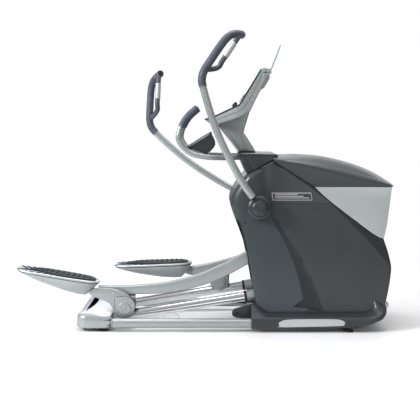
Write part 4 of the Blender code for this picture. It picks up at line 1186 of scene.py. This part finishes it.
def build_mast():
    outline = [
        (0.182, 0.9553), (0.28, 0.9553), (0.262, 0.985), (0.236, 1.026), (0.2105, 1.064), (0.222, 1.108),
        (0.242, 1.172), (0.226, 1.176), (0.19, 1.16), (0.139, 1.14), (0.062, 1.114), (0.091, 1.072), (0.14, 1.01),
    ]
    mast = plate("mast", [outline], -0.06, 0.06, edge=0.011, round_steps=5)
    piece("console_mast", mast, SILVER, nodes=["mast"], sharp=28)
    for name, side in SIDES.items():
        ridge = [(0.196, 0.968), (0.232, 0.968), (0.196, 1.04), (0.17, 1.09), (0.11, 1.094), (0.152, 1.04)]
        skin = plate("ridge", [ridge], *span(side, 0.058, 0.0635), edge=0.003)
        piece(name + "_mast_ridge", skin, CONSOLE)


def build_console():
    face = [(0.303, 1.407), (0.184, 1.212), (0.049, 1.15), (-0.003, 1.133)]
    back = [
        (0.02, 1.116), (0.062, 1.1085), (0.139, 1.129), (0.188, 1.148), (0.238, 1.174),
        (0.268, 1.237), (0.301, 1.302), (0.331, 1.362), (0.354, 1.382), (0.348, 1.403), (0.314, 1.412),
    ]
    shell = plate("shell", [face + back], -CONSOLE_HALF, CONSOLE_HALF, edge=0.01, round_steps=5)
    piece("console_shell", shell, CONSOLE, nodes=["console_housing"], sharp=28)
    bump = [(0.306, 1.386), (0.334, 1.38), (0.344, 1.366), (0.343, 1.35), (0.316, 1.304), (0.296, 1.318)]
    pod = plate("pod", [bump], -0.19, 0.19, edge=0.005, round_steps=4)
    piece("console_pod", pod, CONSOLE)
    # The slit is a near-black sheet: painted shade in the pod's slot.
    slit = plate(
        "slit", [[(0.314, 1.379), (0.336, 1.3835), (0.337, 1.387), (0.314, 1.3835)]], -0.2056, 0.2056, edge=0.0006,
    )
    piece("console_slit", slit, SHADOW)
    normal = Vector((-(1.407 - 1.212), 0.303 - 0.184)).normalized()
    low = Vector((0.187, 1.217))
    high = Vector((0.299, 1.4))
    glass = [low + normal * 0.0003, high + normal * 0.0003, high + normal * 0.0056, low + normal * 0.0056]
    screen = plate("screen", [flat_points(glass)], -0.2065, 0.2065, edge=0.0016)
    deck = [(0.186, 1.211), (0.051, 1.149), (-0.0035, 1.1325), (-0.006, 1.137), (0.049, 1.1545), (0.182, 1.217)]
    ledge = plate("ledge", [deck], -0.2065, 0.2065, edge=0.0014)
    piece("console_ledge", ledge, FACE)
    knob = plate(
        "knob", [[(0.146, 1.196), (0.172, 1.209), (0.17, 1.224), (0.16, 1.229), (0.143, 1.212)]], -0.203, -0.165,
        edge=0.003,
    )
    piece("console_dial", knob, DARK)
    piece("console_screen", screen, FACE, nodes=["console_face"])
    for i, share in enumerate((0.3, 0.52)):
        spot = low.lerp(high, share) + normal * 0.0062
        for k in range(3):
            y = -0.15 + 0.02 * k + 0.18 * i
            lamp = rod(
                "lamp", [(spot.x, y, spot.y), (spot.x + normal.x * 0.0012, y, spot.y + normal.y * 0.0012)], 0.0035, 16,
                "chamfer",
            )
            piece(f"lamp_{i}_{k}", lamp, GREEN)
    for name, side in SIDES.items():
        spot = low.lerp(high, 0.93) + normal * 0.004
        lamp = [(spot.x, side * 0.2, spot.y), (spot.x + normal.x * 0.0052, side * 0.2, spot.y + normal.y * 0.0052)]
        piece(name + "_status_lamp", rod("lamp", lamp, 0.0058, 16, "chamfer"), GREEN)
    keys = []
    for i in range(3):
        for k in range(9):
            centre = low.lerp(high, 0.1 + 0.09 * i)
            y = -0.15 + 0.0375 * k
            corners = [(centre.x - 0.0035, centre.y - 0.0057), (centre.x + 0.0035, centre.y + 0.0057)]
            key = [Vector(corners[0]) + normal * 0.005, Vector(corners[1]) + normal * 0.005]
            key += [key[1] + normal * 0.0016, key[0] + normal * 0.0016]
            keys.append(plate("key", [flat_points(key)], y - 0.011, y + 0.011, edge=0.0005, round_steps=2))
    piece("console_keys", joined("keys", keys), DARK)
    rack = [
        (0.352, 1.4035), (0.3575, 1.401), (0.372, 1.438), (0.382, 1.462), (0.406, 1.5285), (0.401, 1.53), (0.37, 1.452),
    ]
    board = plate("rack", [rack], -0.15, 0.15, edge=0.0004, round_steps=1)
    lip = rod("lip", [(0.4035, -0.148, 1.5288), (0.4035, 0.148, 1.5288)], 0.0034, 14, "dome")
    piece("book_rack", joined("rack", [board, lip]), ACCENT, nodes=["reading_rack"])
    for name, side in SIDES.items():
        screw = screw_head("screw", (0.318, 1.372), 0.006, side, 0.0018, 0.205)
        piece(name + "_console_screw", screw, STEEL)
        # The near-black rod along the console's side is painted shade in its seam.
        seam = [(x, side * 0.205, z) for x, z in [
            (0.02, 1.128), (0.062, 1.132), (0.13, 1.158), (0.196, 1.19), (0.235, 1.24), (0.3, 1.365), (0.33, 1.4),
        ]]
        piece(name + "_console_seam", rod("seam", seam, 0.0008, 6, steps=4), SHADOW)


def build_bars():
    half = [
        (0.23, 0.105, 0.93), (0.2, 0.115, 0.93), (0.168, 0.135, 0.93), (0.13, 0.165, 0.93), (0.097, 0.19, 0.93), (
            0.026, 0.225, 0.933,
        ),
        (-0.036, 0.235, 0.942), (-0.081, 0.235, 0.957), (-0.117, 0.235, 0.984), (-0.138, 0.235, 1.018),
        (-0.143, 0.235, 1.041), (-0.137, 0.235, 1.072), (-0.131, 0.235, 1.088), (-0.1235, 0.235, 1.103),
    ]
    grip = [(-0.1295, 0.235, 1.0915), (-0.109, 0.235, 1.13), (-0.081, 0.235, 1.164), (-0.038, 0.235, 1.2)]
    for name, side in SIDES.items():
        bar = rod("bar", across(half, side), 0.015, 32, steps=7)
        piece(name + "_rest_bar", bar, SILVER, nodes=[name + "_fixed_handlebar"])
        cover = rod("cover", across(grip, side), 0.0175, 32, "dome", steps=8)
        piece(name + "_rest_grip", cover, GRIP, nodes=[name + "_fixed_grip"])


def build_tray():
    """The tray between the fixed handlebars, with two round wells and a banded rim."""
    outline = [
        (-0.1, 0.99), (-0.11, 0.982), (-0.096, 0.972), (-0.07, 0.9745), (-0.03, 0.962),
        (0.01, 0.952), (0.054, 1.0), (0.036, 1.052), (0.023, 1.064),
    ]
    tray = plate("tray", [closed_smooth(outline, 3)], -0.212, 0.212, edge=0.006)
    obj = bpy.data.objects.new("tray", tray)
    cutters = []
    for side in SIDES.values():
        loops = []
        for z, grow in ((0.975, -0.004), (0.979, 0.0), (1.2, 0.0)):
            loops.append([(
                -0.0225 + (0.0375 + grow) * math.copysign(abs(math.cos(a)) ** 0.7, math.cos(a)),
                side * 0.12 + (0.045 + grow) * math.copysign(abs(math.sin(a)) ** 0.7, math.sin(a)), z,
            ) for a in [2 * math.pi * k / 40 for k in range(40)]])
        well = bpy.data.objects.new("well", rings("well", loops))
        bpy.context.scene.collection.objects.link(well)
        step = obj.modifiers.new("well", "BOOLEAN")
        step.operation = "DIFFERENCE"
        step.solver = "EXACT"
        step.object = well
        cutters.append(well)
    mesh = evaluated("tray", obj)
    for well in cutters:
        bpy.data.objects.remove(well)
    piece("bottle_tray", mesh, DARK, nodes=["accessory_tray"], sharp=28)
    for name, side in SIDES.items():
        for i in range(4):
            line = [
                (-0.096 + 0.01 * i, side * 0.2125, 0.985 + 0.003 * i),
                (0.022 + 0.006 * i, side * 0.2125, 1.056 - 0.016 * i),
            ]
            piece(f"{name}_tray_rib_{i}", rod("rib", line, 0.0016, 8, "dome"), DARK if i else ACCENT)


# Fine materials on the CAD parts that stay
KEPT = {
    STEEL: ("drive_frame", "pivot_shaft", "crank_axle", "idler_pulley"),
    BLACK: ("drive_belt", "drive_pulley"),
    IRON: ("flywheel",),
}
KEPT_SIDES = {
    STEEL: ("crank_arm", "rocker_lever", "drag_link", "roller_axle", "roller_bracket"),
    BLACK: ("roller",),
    ORANGE: ("thumb_switch",),
}


def finish_kept():
    names = [(node, material) for material, nodes in KEPT.items() for node in nodes]
    for material, nodes in KEPT_SIDES.items():
        names += [(f"{name}_{node}", material) for name in SIDES for node in nodes]
    for node, material in names:
        mesh = bpy.data.objects[node].data
        for i in range(len(mesh.materials)):
            mesh.materials[i] = material


build_base()
build_rear_casting()
SKIN = shell_skin()
for side_name, side_sign in SIDES.items():
    build_link(side_name, side_sign)
    build_handle(side_name, side_sign)
    build_shell(side_name, side_sign, SKIN)
build_lid()
build_skirt()
build_collar()
build_mast()
build_console()
build_bars()
build_tray()
finish_kept()

# Stage, lights and camera
FADE_START, FADE_END = 1.5, 3.4
CAMERA_PLACE = Vector((0.025, -5.0, 1.11))
CAMERA_PITCH = math.radians(84.5)
SENSOR_MM, LENS_MM = 36, 76.54


def build_stage():
    """A pale floor that fades into a white surround."""
    floor = bpy.data.meshes.new("floor")
    floor.from_pydata([(-14, -14, 0), (14, -14, 0), (14, 14, 0), (-14, 14, 0)], [], [(0, 1, 2, 3)])
    obj = bpy.data.objects.new("floor", floor)
    bpy.context.scene.collection.objects.link(obj)
    n = Nodes("pale_floor")
    n.colour(n.blend(n.noise(3, 3), (0.84, 0.84, 0.85), (0.88, 0.88, 0.89)))
    n.fixed(Roughness=0.55)
    far = n.add("ShaderNodeVectorMath", operation="LENGTH")
    n.join(n.place, far.inputs[0])
    fade = n.spread(far.outputs["Value"], 0, 1, FADE_START, FADE_END)
    clear = n.add("ShaderNodeBsdfTransparent")
    mix = n.add("ShaderNodeMixShader")
    n.join(fade, mix.inputs[0])
    n.join(n.shader.outputs[0], mix.inputs[1])
    n.join(clear.outputs[0], mix.inputs[2])
    n.join(mix.outputs[0], n.tree.nodes["Material Output"].inputs["Surface"])
    floor.materials.append(n.material)
    world = bpy.data.worlds.new("studio")
    world.use_nodes = True
    tree = world.node_tree
    seen = tree.nodes["Background"]
    seen.inputs["Color"].default_value = (1.0, 1.0, 1.0, 1)
    seen.inputs["Strength"].default_value = 1.0
    around = tree.nodes.new("ShaderNodeBackground")
    around.inputs["Color"].default_value = (1.0, 1.0, 1.0, 1)
    where = tree.nodes.new("ShaderNodeTexCoord")
    split = tree.nodes.new("ShaderNodeSeparateXYZ")
    bright = tree.nodes.new("ShaderNodeMapRange")
    bright.inputs["From Min"].default_value = -0.1
    bright.inputs["From Max"].default_value = 0.8
    bright.inputs["To Min"].default_value = 0.2
    bright.inputs["To Max"].default_value = 0.6
    tree.links.new(where.outputs["Generated"], split.inputs[0])
    tree.links.new(split.outputs["Z"], bright.inputs["Value"])
    tree.links.new(bright.outputs["Result"], around.inputs["Strength"])
    path = tree.nodes.new("ShaderNodeLightPath")
    mix = tree.nodes.new("ShaderNodeMixShader")
    tree.links.new(path.outputs["Is Camera Ray"], mix.inputs[0])
    tree.links.new(around.outputs[0], mix.inputs[1])
    tree.links.new(seen.outputs[0], mix.inputs[2])
    tree.links.new(mix.outputs[0], tree.nodes["World Output"].inputs["Surface"])
    bpy.context.scene.world = world
    bpy.context.scene.view_settings.view_transform = "Standard"


def add_light(name, place, aim, size, power, height=None):
    data = bpy.data.lights.new(name, "AREA")
    data.shape = "RECTANGLE"
    data.size = size
    data.size_y = height or size
    data.energy = power
    obj = bpy.data.objects.new(name, data)
    bpy.context.scene.collection.objects.link(obj)
    obj.location = place
    obj.visible_camera = False
    obj.rotation_euler = (Vector(aim) - Vector(place)).to_track_quat("-Z", "Y").to_euler()


def build_camera():
    data = bpy.data.cameras.new("camera")
    obj = bpy.data.objects.new("camera", data)
    bpy.context.scene.collection.objects.link(obj)
    obj.location = CAMERA_PLACE + SHIFT
    obj.rotation_euler = (CAMERA_PITCH, 0, 0)
    data.sensor_width = SENSOR_MM
    data.lens = LENS_MM
    bpy.context.scene.camera = obj


build_stage()
add_light("key", (-4.0, -2.4, 2.8), (0.1, 0, 0.6), 1.2, 270)
add_light("top", (0.2, 0.2, 3.4), (0.2, 0, 0.3), 2.6, 95)
add_light("back", (0.5, 3.4, 1.7), (0.3, 0, 0.7), 4.0, 24, 1.6)
add_light("front", (1.6, -4.2, 1.4), (0.3, 0, 0.6), 1.6, 14)
build_camera()
